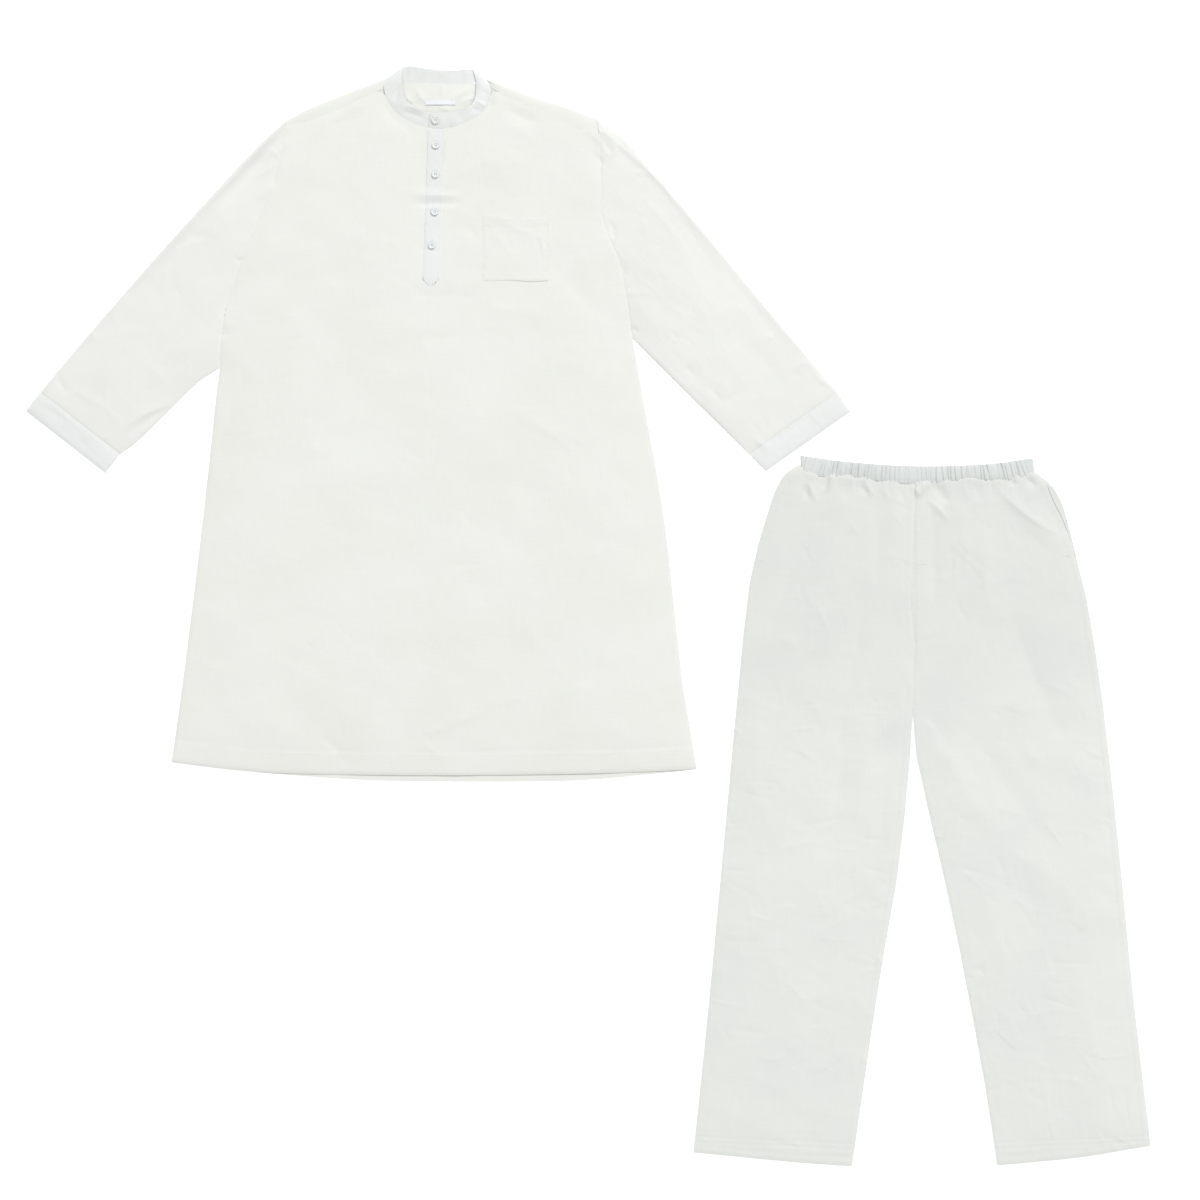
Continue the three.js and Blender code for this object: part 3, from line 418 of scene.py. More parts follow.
def give_wall(piece, thick=0.9):
    """Gives a sheet its thickness, inwards and never into the table, and smooth shading but for the cut edges."""
    apply_modifier(piece, "SOLIDIFY", thickness=thick * MM, offset=-1)
    points = points_of(piece)
    points[:, 2] = np.maximum(points[:, 2], 0)
    set_points(piece, points)
    bpy.ops.object.shade_smooth_by_angle(angle=math.radians(50))


def weave_material(name, base, shade, turn=0.0, wrinkle=0.25, painted_shade_between=None):
    """Plain-weave cotton with slub yarns, bleached but not blued. Threads cross every 0.45 mm, which is
    finer than the render shows, so they are drawn 1.3 mm apart, and the slubs are streaks 14 to 40 mm long.
    The last argument gives two heights in mm: between them the colour turns a little darker, and it stays so above
    them, as painted shade."""
    material, shader = new_material(name)
    place = add_node(material, "ShaderNodeTexCoord").outputs["Object"]
    turned = add_node(
        material, "ShaderNodeMapping", {"Vector": place, "Rotation": (0, 0, math.radians(turn))}
    ).outputs[0]
    thread = 1.3 * MM
    crossing = []
    for direction in ("X", "Y"):
        bands = add_node(
            material, "ShaderNodeTexWave",
            {"Vector": turned, "Scale": math.pi / (10 * thread), "Distortion": 0.6, "Detail": 1.0},
            bands_direction=direction,
        )
        crossing.append(bands.outputs["Color"])
    cloth = add_node(material, "ShaderNodeMix", {0: 0.5, 6: crossing[0], 7: crossing[1]}, data_type="RGBA")
    streaks = []
    for long_way in ((22, 420, 1), (380, 26, 1)):
        stretched = add_node(material, "ShaderNodeVectorMath", {0: turned, 1: long_way}, operation="MULTIPLY")
        slub = add_node(
            material, "ShaderNodeTexNoise", {"Vector": stretched.outputs[0], "Scale": 1, "Detail": 3, "Roughness": 0.6}
        )
        streaks.append(slub.outputs["Fac"])
    slubs = add_node(material, "ShaderNodeMath", {0: streaks[0], 1: streaks[1]}, operation="MULTIPLY").outputs[0]
    clouded = add_node(material, "ShaderNodeTexNoise", {"Vector": turned, "Scale": 7, "Detail": 2, "Roughness": 0.5})
    tone = add_node(material, "ShaderNodeMath", {0: slubs, 1: clouded.outputs["Fac"]}, operation="ADD")
    ramp = add_node(material, "ShaderNodeValToRGB", {"Fac": tone.outputs[0]})
    for element, position, colour in zip(ramp.color_ramp.elements, (0.45, 0.95), (shade, base)):
        element.position, element.color = position, linear(colour)
    crumple = add_node(material, "ShaderNodeTexNoise", {"Vector": turned, "Scale": 95, "Detail": 4, "Roughness": 0.55})
    ridges = add_node(
        material, "ShaderNodeTexNoise",
        {"Vector": turned, "Scale": 34, "Detail": 3, "Roughness": 0.5, "Distortion": 0.4},
        noise_type="RIDGED_MULTIFRACTAL",
    )
    under = {}
    for height, strength, high in (
        (crumple.outputs["Fac"], wrinkle, 0.8), (ridges.outputs["Fac"], wrinkle, 0.6),
        (slubs, 0.35, 0.25), (cloth.outputs["Result"], 0.3, 0.12),
    ):
        bump = {"Height": height, "Strength": strength, "Distance": high * MM}
        under = {"Normal": add_node(material, "ShaderNodeBump", bump | under).outputs[0]}
    colour = ramp.outputs["Color"]
    if painted_shade_between:
        # painted shade: the colour darkens a little from the lower height to the upper one; layers holds its share
        height = add_node(material, "ShaderNodeSeparateXYZ", {"Vector": place}).outputs["Y"]
        layers = add_node(
            material, "ShaderNodeMapRange", {"Value": height, "From Min": painted_shade_between[0] * MM, "From Max": painted_shade_between[1] * MM},
            interpolation_type="SMOOTHSTEP",
        )
        darkened_by_painted_shade = add_node(
            material, "ShaderNodeMix", {0: layers.outputs["Result"], 6: colour, 7: linear("#fafafa")},
            data_type="RGBA", blend_type="MULTIPLY",
        )
        colour = darkened_by_painted_shade.outputs["Result"]
    material.node_tree.links.new(colour, shader.inputs["Base Color"])
    material.node_tree.links.new(under["Normal"], shader.inputs["Normal"])
    finish = {"Roughness": 0.88, "Sheen Weight": 0.12, "Sheen Roughness": 0.5, "Specular IOR Level": 0.25}
    for name_of_input, value in finish.items():
        shader.inputs[name_of_input].default_value = value
    return material


def dress(piece, material, slot, *nodes):
    """Puts the finish on a piece, seats it on the body and lets it stand for its solids."""
    piece.data.materials.clear()
    piece.data.materials.append(material)
    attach(piece, "root")
    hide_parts(*nodes)


def edge_path(piece, inset, keep):
    """The longest run of a sheet's open edge that keep accepts, moved into the cloth by inset, as x and y
    in millimetres. keep gets a point and the way out of the cloth there."""
    ways, points, beside = open_edge(piece), points_of(piece), {}
    for edge in piece.data.edges:
        first, second = edge.vertices
        if first in ways and second in ways:
            beside.setdefault(first, []).append(second)
            beside.setdefault(second, []).append(first)
    left = {i for i, way in ways.items() if keep(*points[i], way)}
    runs = []
    while left:
        start = next((i for i in sorted(left) if sum(n in left for n in beside[i]) < 2), min(left))
        run = [start]
        while run[-1] in left:
            left.discard(run[-1])
            run += [n for n in beside[run[-1]] if n in left][:1]
        runs.append(run)
    longest = max(runs, key=len)
    return [(points[i][0] - inset * ways[i].x, points[i][1] - inset * ways[i].y) for i in longest]


def stitches_along(piece, path, pitch=3.0, gap=0.6):
    """The two ends of each stitch along a path, laid on a piece's upper face."""
    tree = BVHTree.FromObject(piece, bpy.context.evaluated_depsgraph_get())
    path = np.array(path)
    along = np.concatenate([[0], np.cumsum(np.linalg.norm(np.diff(path, axis=0), axis=1))])
    stitches = []
    for i in range(int(along[-1] // pitch)):
        ends = []
        for s in (i * pitch + gap / 2, (i + 1) * pitch - gap / 2):
            above = Vector((np.interp(s, along, path[:, 0]), np.interp(s, along, path[:, 1]), 60)) * MM
            ends.append(tree.ray_cast(above, Vector((0, 0, -1)))[0])
        if all(ends) and (ends[0] - ends[1]).length < 1.5 * pitch * MM:
            stitches.append(ends)
    return stitches


body_cotton = weave_material("slub_cotton_body", "#e9eae5", "#e5e6e0")
HEM_DEEP = 33
HEM_X, HEM_Y = (-387, -278, -179, 22, 243, 385), (13, 0, -4, -6, -3, 3)


def fading(value):
    """A soft step down, from 1 where the value is well under 0 to 0 where it is well over."""
    return 1 / (1 + np.exp(np.clip(value, -40, 40)))


def hem_step(x, y, from_rim):
    """The turned-up hem: a soft step where its three layers end, and the dip of the line of stitching."""
    above = y - np.interp(x, HEM_X, HEM_Y) - HEM_DEEP
    return 0.35 * fading(above / 1.2) - 0.4 * bell(above, 1.8)


def front_relief(x, y):
    """What the front's mesh has to be fine enough for."""
    return crease_relief(x, y, THOBE_CREASES) + hem_step(x, y, 0)


NECK_LOW, NECK_HALF, ARMHOLE_LOW, BODY_HALF, COLLAR_HALF = 925, 88, 600, 150, 92


def front_roll(x, y):
    """How far the front's edge rolls down: hardly at the shoulders, where the back's edge lies on the seam,
    and at the armholes, up against the collar at the neck, and fully at the sides and the hem."""
    high, armhole = y > NECK_LOW, (y > ARMHOLE_LOW) & (np.abs(x) > BODY_HALF)
    return np.select([high & (np.abs(x) > NECK_HALF), high, armhole], [0.1, -0.1, 0.4], SEAM_ROLL)


def front_reach(x, y):
    """The front reaches in under the collar at the neck, and elsewhere just to its neighbour."""
    return np.where((y > NECK_LOW) & (np.abs(x) < COLLAR_HALF), 1.1, 0.5)


thobe_front = outer_sheet("thobe_front", "front_panel", 32)
hem_rings(thobe_front, 1.2)
refine(thobe_front, THOBE_FOOT, front_relief, least=3.2, miss=0.06)
lay_creases(thobe_front, THOBE_FOOT, THOBE_CREASES, roll=front_roll, reach=front_reach, extra=hem_step)
hem_path = edge_path(thobe_front, HEM_DEEP, lambda x, y, z, way: way.y < -0.7)
give_wall(thobe_front)
dress(thobe_front, body_cotton, "thobe_cloth", "thobe_front")
thobe_stitches = stitches_along(thobe_front, hem_path)

# Thobe back
# The other panel, flat on the table. It comes over both shoulders to the front seams, and its inside
# shows in the neck.
NECK_FOLDS = [
    (22, 984, 58, 1006, 2, 2.0, 4), (36, 980, 66, 992, 2, 1.8, 3), (-10, 980, -30, 1006, 2, 1.8, 5),
    (-30, 982, -56, 1002, 2, 2.0, 4), (4, 974, 30, 966, 2, 1.5, 5), (-40, 978, -16, 962, 2, 1.8, 5),
    (44, 966, 70, 980, 2, 2.0, 4), (10, 992, 12, 1012, 1, 1.4, 4), (-46, 988, 62, 988, 0, 3.0, 26),
]
HOLLOW, BACK_FACE = 1.35 * MM, 0.9
thobe_back = outer_sheet("thobe_back", "back_panel", 30, middle=HOLLOW, smooth=1)
refine(thobe_back, THOBE_FOOT, lambda x, y: crease_relief(x, y, NECK_FOLDS), passes=4)
lay_creases(thobe_back, THOBE_FOOT, THOBE_CREASES, base=ABOVE_BACK, roll=1.2)
give_wall(thobe_back)
points = points_of(thobe_back)
inside = np.abs(points[:, 2] - BACK_FACE) < 0.1
points[inside, 2] += crease_relief(*(points[inside, :2] - THOBE_FOOT).T, NECK_FOLDS)
set_points(thobe_back, points)
dress(thobe_back, body_cotton, "thobe_cloth", "thobe_back")

# Sleeves
# Each is one piece of the same cotton, folded along its top edge and seamed under the arm, so that it
# lies as a flattened tube. Its wide end is sewn into the armhole and its narrow end into the cuff.
SLEEVE_TURN = {"right": -48, "left": 48}
ARMHOLE_OUT, ARMHOLE_FOOT = 300, 655


def sleeve_roll(x, y):
    """The sleeve's edge lies nearly flat at the armhole and rolls under along the arm's seam."""
    return np.where((np.abs(x) < ARMHOLE_OUT) & (y > ARMHOLE_FOOT), 0.4, SEAM_ROLL)


def thobe_relief(x, y):
    """What the meshes of the sleeves and cuffs have to be fine enough for."""
    return crease_relief(x, y, THOBE_CREASES)


for side, turn in SLEEVE_TURN.items():
    sleeve_cotton = weave_material(f"slub_cotton_sleeve_{side}", "#e9eae6", "#e5e6e1", turn)
    sleeve = outer_sheet(f"thobe_sleeve_{side}", f"sleeve_{side}", 22, middle=HOLLOW)
    hem_rings(sleeve, 1.2)
    refine(sleeve, THOBE_FOOT, thobe_relief)
    lay_creases(sleeve, THOBE_FOOT, THOBE_CREASES, base=ABOVE_BACK, roll=sleeve_roll)
    give_wall(sleeve)
    dress(sleeve, sleeve_cotton, "thobe_cloth", f"thobe_sleeve_{side}")

# Cuffs
# A straight band, folded double over interlining and so in a cooler white than the body. It is sewn
# round each sleeve's end, with a row of stitching along both of its edges.
band_cotton = weave_material("band_cotton", "#e7e9e8", "#e3e5e3", wrinkle=0.15)
EDGE_STITCH = 2.2


def topstitched(x, y, from_rim):
    """The dip of a line of stitching that follows a piece's edge."""
    return -0.3 * bell(from_rim - EDGE_STITCH, 1.1)


CUFF_WAY = {"right": Vector((-0.62, -0.79, 0)), "left": Vector((0.6, -0.8, 0))}
for side, way_out in CUFF_WAY.items():
    cuff = outer_sheet(f"thobe_cuff_{side}", f"cuff_{side}", 12, middle=1.75 * MM)
    refine(cuff, THOBE_FOOT, thobe_relief)
    lay_creases(cuff, THOBE_FOOT, THOBE_CREASES, base=2.2, extra=topstitched)
    cuff_paths = [
        edge_path(cuff, EDGE_STITCH, lambda x, y, z, way: z > 2.4 and way.dot(way_out) * end > 0.6) for end in (1, -1)
    ]
    give_wall(cuff, thick=1.3)
    thobe_stitches += [pair for path in cuff_paths for pair in stitches_along(cuff, path)]
    dress(cuff, band_cotton, "interlined_cloth", f"thobe_cuff_{side}")

# Collar
# A stiff band of two layers over interlining, standing on the neck seam all round. Its ends lie over
# each other at the front, where the top button closes them.


def whole_solid(node, name, bevel, smooth):
    """A thick piece kept as the closed form of its solid, with its edges rounded."""
    piece = open_copy(node, name)[0]
    bmesh.update_edit_mesh(piece.data)
    join_triangles()
    bpy.ops.object.mode_set(mode="OBJECT")
    apply_modifier(piece, "BEVEL", width=bevel * MM, segments=2, limit_method="ANGLE", angle_limit=math.radians(50))
    apply_modifier(piece, "SUBSURF", levels=smooth, render_levels=smooth)
    bpy.ops.object.shade_smooth_by_angle(angle=math.radians(60))
    return piece


COLLAR_FOLDS = [
    (-44, 994, -40, 1040, 2, -3.0, 5), (60, 994, 55, 1037, -2, -3.2, 5), (-60, 984, -46, 1010, 2, -2.8, 6),
    (60, 976, 57, 1024, 0, -3.6, 8), (84, 970, 82, 1022, -2, 3.8, 9), (66, 1000, 80, 994, 0, -1.0, 3),
    (-50, 976, -10, 967, 3, 1.6, 4), (-48, 968, -14, 958, 2, -1.9, 5), (-34, 958, -20, 976, 2, 0.9, 3),
    (57, 986, 77, 974, 1, 1.7, 3), (54, 976, 70, 966, 1, -1.0, 3), (-22, 1014, -8, 1036, 1, 1.3, 4),
    (24, 1014, 38, 1036, 1, -1.3, 5), (4, 1012, 12, 1034, 0, 1.0, 4), (36, 954, 46, 974, 2, -1.4, 4),
    (8, 940, 14, 964, 1, 1.0, 4), (-34, 1012, -26, 1036, 1, -1.2, 4), (44, 1012, 48, 1034, 1, 1.2, 3),
    (62, 966, 54, 980, 1, -1.2, 3), (-12, 946, -4, 964, 1, -1.0, 3), (24, 944, 30, 964, 1, 1.0, 4),
]
NECK_SEAM = (
    (-77, 1003), (-74, 991), (-60, 970), (-37, 953), (-10, 944), (16, 944), (40, 950), (65, 962), (80, 982), (84, 1004)
)
NECK_MIDDLE, UPPER_ROW = np.array([2, 996]), 14


def bend_stiff(piece, foot, creases, rough=0.5):
    """Bends a stiff piece up and down by its creases, through its whole thickness, down to the cloth below."""
    points = points_of(piece)
    x, y = on_garment(points, foot)
    bent = crease_relief(x, y, creases) + rough * rumple(x, y)
    points[:, 2] += bent * np.clip((points[:, 2] - 1.2) / 2.5, 0, 1)
    set_points(piece, points)


collar = whole_solid("thobe_collar", "collar_band", 0.35, 3)
bend_stiff(collar, THOBE_FOOT, COLLAR_FOLDS)
dress(collar, band_cotton, "interlined_cloth", "thobe_collar")
for inset in (EDGE_STITCH, UPPER_ROW):
    path = []
    for spot in np.array(NECK_SEAM, float):
        inward = NECK_MIDDLE - spot
        path.append(THOBE_FOOT + spot + inward * inset / np.linalg.norm(inward))
    thobe_stitches += stitches_along(collar, path)

# Placket
# A strip of the cooler white cotton, folded over interlining and topstitched over the slit. It runs from
# the collar down the middle of the front and ends in a shallow point.
placket = outer_sheet("thobe_placket", "placket_strip", 6, smooth=1, way="SIMPLE")
hem_rings(placket, 1.2)
lay_creases(placket, THOBE_FOOT, THOBE_CREASES, lift=-0.5, roll=0.4, reach=0, rough=0.5, extra=topstitched)
placket_path = edge_path(placket, EDGE_STITCH, lambda x, y, z, way: way.y < 0.7)
give_wall(placket, thick=0.6)
thobe_stitches += stitches_along(placket, placket_path)
dress(placket, band_cotton, "interlined_cloth", "thobe_placket")

# Chest pocket
# A patch of the body's cotton on the wearer's left, with a turned mouth, sewn to the front round its
# other three sides. Its lower edge is a little wavy.
POCKET_FOOT, POCKET_HEM, MOUTH_X = 719, 800.4, (70.3, 166.7)
POCKET_WAVES = ((109, 15, 1.5), (168, 8, 0.9), (140, 9, -0.5))
pocket = outer_sheet("thobe_pocket", "chest_pocket", 6, smooth=1, way="SIMPLE")
hem_rings(pocket, 1.2)


def pocket_edge(x, y, from_rim):
    """The lower edge stands off by its folded seam allowance, in small waves, and the mouth has its hem."""
    above = np.maximum(y - POCKET_FOOT, 0)
    hem = 0.2 * fading(POCKET_HEM - y) - 0.2 * bell(y - POCKET_HEM, 1.5)
    return 0.7 * np.exp(-above / 4) + hem + topstitched(x, y, from_rim)


def pocket_roll(x, y):
    """The pocket's sides lie flat, and only its lower edge rolls."""
    return 0.3 + 1.2 * np.exp(-np.maximum(y - POCKET_FOOT, 0) / 3)


lay_creases(pocket, THOBE_FOOT, THOBE_CREASES, roll=pocket_roll, reach=0, rough=0.5, extra=pocket_edge)
points = points_of(pocket)
x, y = on_garment(points, THOBE_FOOT)
waves = sum(size * bell(x - middle, wide) for middle, wide, size in POCKET_WAVES)
points[:, 1] += waves * np.exp(-np.maximum(y - POCKET_FOOT, 0) / 6)
set_points(pocket, points)
pocket_path = edge_path(pocket, EDGE_STITCH, lambda x, y, z, way: way.y < 0.7)
give_wall(pocket)
thobe_stitches += stitches_along(pocket, pocket_path)
thobe_stitches += stitches_along(pocket, np.array([(x, POCKET_HEM) for x in MOUTH_X]) + THOBE_FOOT)
dress(pocket, body_cotton, "thobe_cloth", "thobe_pocket")

# Neck label
# A bare label of woven satin, folded double and sewn along its top edge to the back's inside, where it
# shows in the neck.


def two_tone(material, shader, pattern, first, second, strength=0.0):
    """Colours a finish between two tones by a pattern, which may also raise it by up to 0.1 mm."""
    mixed = add_node(material, "ShaderNodeMix", {0: pattern, 6: linear(first), 7: linear(second)}, data_type="RGBA")
    material.node_tree.links.new(mixed.outputs["Result"], shader.inputs["Base Color"])
    if strength:
        bump = add_node(
            material, "ShaderNodeBump", {"Height": pattern, "Strength": strength, "Distance": 0.1 * MM}
        )
        material.node_tree.links.new(bump.outputs[0], shader.inputs["Normal"])


# polyester satin as it is woven: a cool white with fine ribs across and a soft sheen
label_satin, shader = new_material("woven_satin_label")
place = add_node(label_satin, "ShaderNodeTexCoord").outputs["Object"]
picks = add_node(
    label_satin, "ShaderNodeTexWave", {"Vector": place, "Scale": 420, "Distortion": 1.2, "Detail": 1},
    bands_direction="Y",
)
two_tone(label_satin, shader, picks.outputs["Fac"], "#e8eaf0", "#e2e4ea", strength=0.4)
shader.inputs["Roughness"].default_value = 0.45
shader.inputs["Sheen Weight"].default_value = 0.3
LABEL_HIGH = 21
label = outer_sheet("thobe_label", "neck_label", 5, smooth=2, way="SIMPLE")
points = points_of(label)
below = points[:, 1].max() - points[:, 1]
points[:, 2] += 0.0035 * below**2 + 0.25 * np.sin(points[:, 0] / 6) * below / LABEL_HIGH
set_points(label, points)
label_path = edge_path(label, 1.2, lambda x, y, z, way: way.y > 0.7)
give_wall(label, thick=0.5)
dress(label, label_satin, "label_satin", "thobe_label")
thobe_stitches += stitches_along(label, label_path, pitch=2.2)

# Buttons
# Cast polyester, 11.4 mm across: glossy, in white with the faint swirl of its pearl pigment. Each has a
# raised rim, a dished middle and four holes, and is sewn on through its buttonhole: across the collar's
# end, and upright down the placket.
pearl, shader = new_material("pearl_polyester")
place = add_node(pearl, "ShaderNodeTexCoord").outputs["Object"]
swirl = add_node(pearl, "ShaderNodeTexNoise", {"Vector": place, "Scale": 240, "Distortion": 1.5})
two_tone(pearl, shader, swirl.outputs["Fac"], "#eef0ee", "#dfe3e6")
shader.inputs["Roughness"].default_value = 0.22
shader.inputs["IOR"].default_value = 1.55
shader.inputs["Coat Weight"].default_value = 0.4


def bar_tack(piece, start, end, width=2.0):
    """A short bar of close stitches between two points, across the line between them."""
    start, end = np.array(start, float), np.array(end, float)
    way = (end - start) / np.linalg.norm(end - start)
    across = np.array([-way[1], way[0]]) * width / 2
    rungs = []
    for t in np.linspace(0, 1, int(np.linalg.norm(end - start) / 0.6) + 1):
        middle = start + (end - start) * t
        rungs += stitches_along(piece, [middle - across, middle + across], pitch=width * 0.99, gap=0)
    return rungs


def piece_from(mesh, name):
    """Turns a bmesh into a piece of the scene."""
    piece = bpy.data.objects.new(name, bpy.data.meshes.new(name))
    mesh.to_mesh(piece.data)
    mesh.free()
    bpy.context.scene.collection.objects.link(piece)
    return piece


BUTTON_PROFILE = ((0, 0), (4.4, 0), (5.3, 0.6), (5.7, 1.3), (5.6, 1.9), (5.1, 2.35), (4.5, 2.3), (3.9, 1.75), (0, 1.6))
HOLE_OUT, HOLE_WIDE, THREAD_ASIDE = 1.15, 1.3, 0.28
BUTTONHOLE, BUTTONHOLE_HALF, END_BAR_HALF = 14, 0.95, 1.7
button_threads, buttonhole_stitches = [], []
for number in range(1, 6):
    node = f"thobe_button_{number}"
    corners = np.array([vert.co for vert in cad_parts[node].data.vertices]) / MM
    middle = corners.mean(axis=0)
    up = Vector(np.linalg.svd(corners - middle, full_matrices=False)[2][2])
    up = up * math.copysign(1, up.z)
    foot = Vector(middle) + up * float(((corners - middle) @ np.array(up)).min())
    carrier, along = (collar, Vector((1, 0, 0))) if number == 1 else (placket, Vector((0, 1, 0)))
    for side in (-1, 1):
        rail = along.cross(Vector((0, 0, 1))) * side * BUTTONHOLE_HALF
        ends = [foot + along * BUTTONHOLE / 2 * end + rail for end in (-1, 1)]
        buttonhole_stitches += bar_tack(carrier, ends[0].xy, ends[1].xy, width=1.3)
        tip = foot + along * BUTTONHOLE / 2 * side
        across = along.cross(Vector((0, 0, 1))) * END_BAR_HALF
        buttonhole_stitches += bar_tack(carrier, (tip - across).xy, (tip + across).xy, width=1.2)
    mesh = bmesh.new()
    ring = [mesh.verts.new((radius, 0, height)) for radius, height in BUTTON_PROFILE]
    outline = [mesh.edges.new(pair) for pair in zip(ring, ring[1:])]
    bmesh.ops.spin(mesh, geom=ring + outline, axis=(0, 0, 1), cent=(0, 0, 0), angle=2 * math.pi, steps=40)
    bmesh.ops.remove_doubles(mesh, verts=mesh.verts, dist=0.01)
    bmesh.ops.recalc_face_normals(mesh, faces=mesh.faces)
    seat = up.to_track_quat("Z", "Y").to_matrix().to_4x4()
    seat.translation = foot
    button = piece_from(mesh, f"button_{number}")
    drill = bmesh.new()
    for hole_x in (-HOLE_OUT, HOLE_OUT):
        for hole_y in (-HOLE_OUT, HOLE_OUT):
            pin = bmesh.ops.create_cone(
                drill, cap_ends=True, segments=14, radius1=HOLE_WIDE / 2, radius2=HOLE_WIDE / 2, depth=6
            )
            bmesh.ops.translate(drill, verts=pin["verts"], vec=(hole_x, hole_y, 1))
        ends = [seat @ Vector((hole_x, hole_y, 1.5)) * MM for hole_y in (-HOLE_OUT, HOLE_OUT)]
        for aside in (-THREAD_ASIDE, 0, THREAD_ASIDE):
            button_threads.append([end + (seat.to_3x3() @ Vector((aside, 0, 0.35 - abs(aside)))) * MM for end in ends])
    pins = piece_from(drill, "pins")
    apply_modifier(button, "BOOLEAN", operation="DIFFERENCE", object=pins, solver="EXACT")
    bpy.data.objects.remove(pins)
    button.data.transform(seat)
    set_points(button, points_of(button) * MM)
    bpy.ops.object.shade_smooth_by_angle(angle=math.radians(40))
    dress(button, pearl, "pearl_button", node)

# Thobe stitching
# White spun polyester thread: the buttons' own, the worked buttonholes, and the rows of topstitching
# that were laid out with each piece above.


def sew(name, stitches, material, wide=0.55, thick=0.3):
    """One mesh of many stitches: each is a short float of thread that dips into the cloth at both ends."""
    mesh = bmesh.new()
    for start, end in stitches:
        along = end - start
        side = along.cross(Vector((0, 0, 1))).normalized()
        up = side.cross(along).normalized()
        first, last = (mesh.verts.new(tip - up * 0.2 * MM) for tip in (start, end))
        rings = []
        for t in (0.22, 0.78):
            at = start + along * t
            offsets = (side * wide / 2, up * thick, side * -wide / 2, up * -0.15)
            rings.append([mesh.verts.new(at + offset * MM) for offset in offsets])
        for i in range(4):
            j = (i + 1) % 4
            mesh.faces.new((first, rings[0][i], rings[0][j]))
            mesh.faces.new((rings[0][i], rings[1][i], rings[1][j], rings[0][j]))
            mesh.faces.new((rings[1][i], last, rings[1][j]))
    bmesh.ops.recalc_face_normals(mesh, faces=mesh.faces)
    piece = piece_from(mesh, name)
    piece.data.materials.append(material)
    pick(piece)
    bpy.ops.object.shade_smooth_by_angle(angle=math.radians(70))
    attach(piece, "root")


# spun polyester thread: twisted plies, a fine random two-tone noise in its colour and bump, and a soft sheen
thread_white, shader = new_material("spun_sewing_thread")
place = add_node(thread_white, "ShaderNodeTexCoord").outputs["Object"]
plies = add_node(thread_white, "ShaderNodeTexNoise", {"Vector": place, "Scale": 1600, "Detail": 1})
two_tone(thread_white, shader, plies.outputs["Fac"], "#e9eae6", "#dcdcd6", strength=0.5)
shader.inputs["Roughness"].default_value = 0.55
shader.inputs["Sheen Weight"].default_value = 0.2
sew("button_thread", button_threads, thread_white, wide=0.4, thick=0.25)
sew("buttonholes", buttonhole_stitches, thread_white, wide=0.5, thick=0.22)
sew("thobe_topstitching", thobe_stitches, thread_white)

# Trousers fronts
# Two front legs of the same cotton, a shade greyer, seamed to each other at the centre and to the backs
# at the sides and inside the legs. The waist's elastic draws them up into puffs over its seam.
TROUSERS_FOOT = (482.7, -807.2)
TROUSER_CREASES = [
    # at the gathers, the pocket and the fly
    (112, 1006, 216, 924, -9, 2.3, 5), (190, 996, 222, 925, 3, -3.4, 13), (140, 960, 206, 896, -6, -1.4, 12),
    (28, 1000, 30, 800, -4, -2.6, 13), (-58, 990, -60, 850, 3, -2.2, 11), (-74, 860, -110, 660, 4, -2.4, 17),
    (-120, 1000, -210, 790, -10, -3.0, 18), (-86, 1000, -150, 800, -8, 1.8, 15), (-30, 1000, -34, 880, 2, 1.5, 10),
    (128, 850, 240, 590, -10, -2.6, 20), (100, 960, 110, 800, -4, 1.8, 14), (60, 990, 74, 860, 2, 1.2, 10),
    (-160, 1008, -148, 974, 0, 2.6, 3), (-166, 1000, -157, 974, 0, -2.0, 4), (-120, 1012, -133, 986, 0, 2.8, 3),
    (-127, 1010, -137, 992, 0, -2.0, 3), (-73, 1002, -64, 982, 0, 2.4, 3), (-82, 1001, -72, 984, 0, -2.4, 4),
    (-8, 998, 5, 980, 2, 3.0, 3.5), (5, 982, 18, 1002, 2, 3.0, 3.5), (22, 1002, 50, 972, 0, -4.2, 6),
    (14, 980, 48, 946, 2, 2.2, 4), (134, 1006, 148, 998, 0, -3.0, 3), (160, 1010, 177, 996, 0, -3.6, 4),
    (-50, 1000, -40, 972, 1, 1.6, 4), (-28, 1000, -20, 976, 1, -1.5, 4), (68, 1002, 76, 976, 1, 1.8, 4),
    (86, 1002, 92, 976, 1, -1.8, 4), (-100, 1004, -106, 976, 1, -1.6, 4),
    # at the crotch
    (-6, 735, -62, 622, 8, 1.4, 9, 0.4), (-10, 650, -92, 560, 8, -1.0, 12), (-4, 778, -8, 700, 1, -1.6, 6),
    (12, 640, 92, 560, -8, 1.1, 12), (10, 690, 60, 600, -5, -0.8, 12), (-16, 716, -14, 664, 1, -1.2, 5),
    (10, 652, 32, 628, 2, 0.9, 5),
    # down the legs
    (-200, 775, -172, 760, 2, 0.8, 7), (153, 610, 180, 585, 3, 0.8, 7), (-58, 298, -50, 306, 0, 0.9, 6),
    (34, 487, 30, 480, 0, 0.8, 5), (86, 291, 100, 278, 2, -1.0, 6), (134, 464, 196, 422, 4, 0.9, 10),
    (-97, 253, -73, 219, 3, 0.8, 8), (-190, 880, -120, 760, 10, 0.8, 20), (180, 820, 120, 700, 8, -0.7, 20),
    (-236, 700, -250, 480, 8, 2.0, 22), (-110, 700, -130, 440, 8, -2.2, 18), (-70, 660, -90, 500, 4, 2.0, 16),
    (-40, 560, -76, 420, 4, -1.4, 12), (-240, 380, -190, 200, 8, 1.2, 26), (-150, 340, -160, 140, 8, -1.4, 24),
    (-260, 140, -140, 70, 6, 0.8, 20), (40, 620, 130, 470, -8, 1.8, 18), (90, 640, 190, 480, -8, -1.6, 18),
    (90, 460, 150, 250, -8, 1.5, 22), (150, 460, 220, 260, -8, -1.4, 22), (180, 220, 220, 60, -4, -1.4, 22),
    (240, 300, 286, 90, -6, 1.2, 20), (210, 640, 260, 540, 5, 0.8, 20),
]
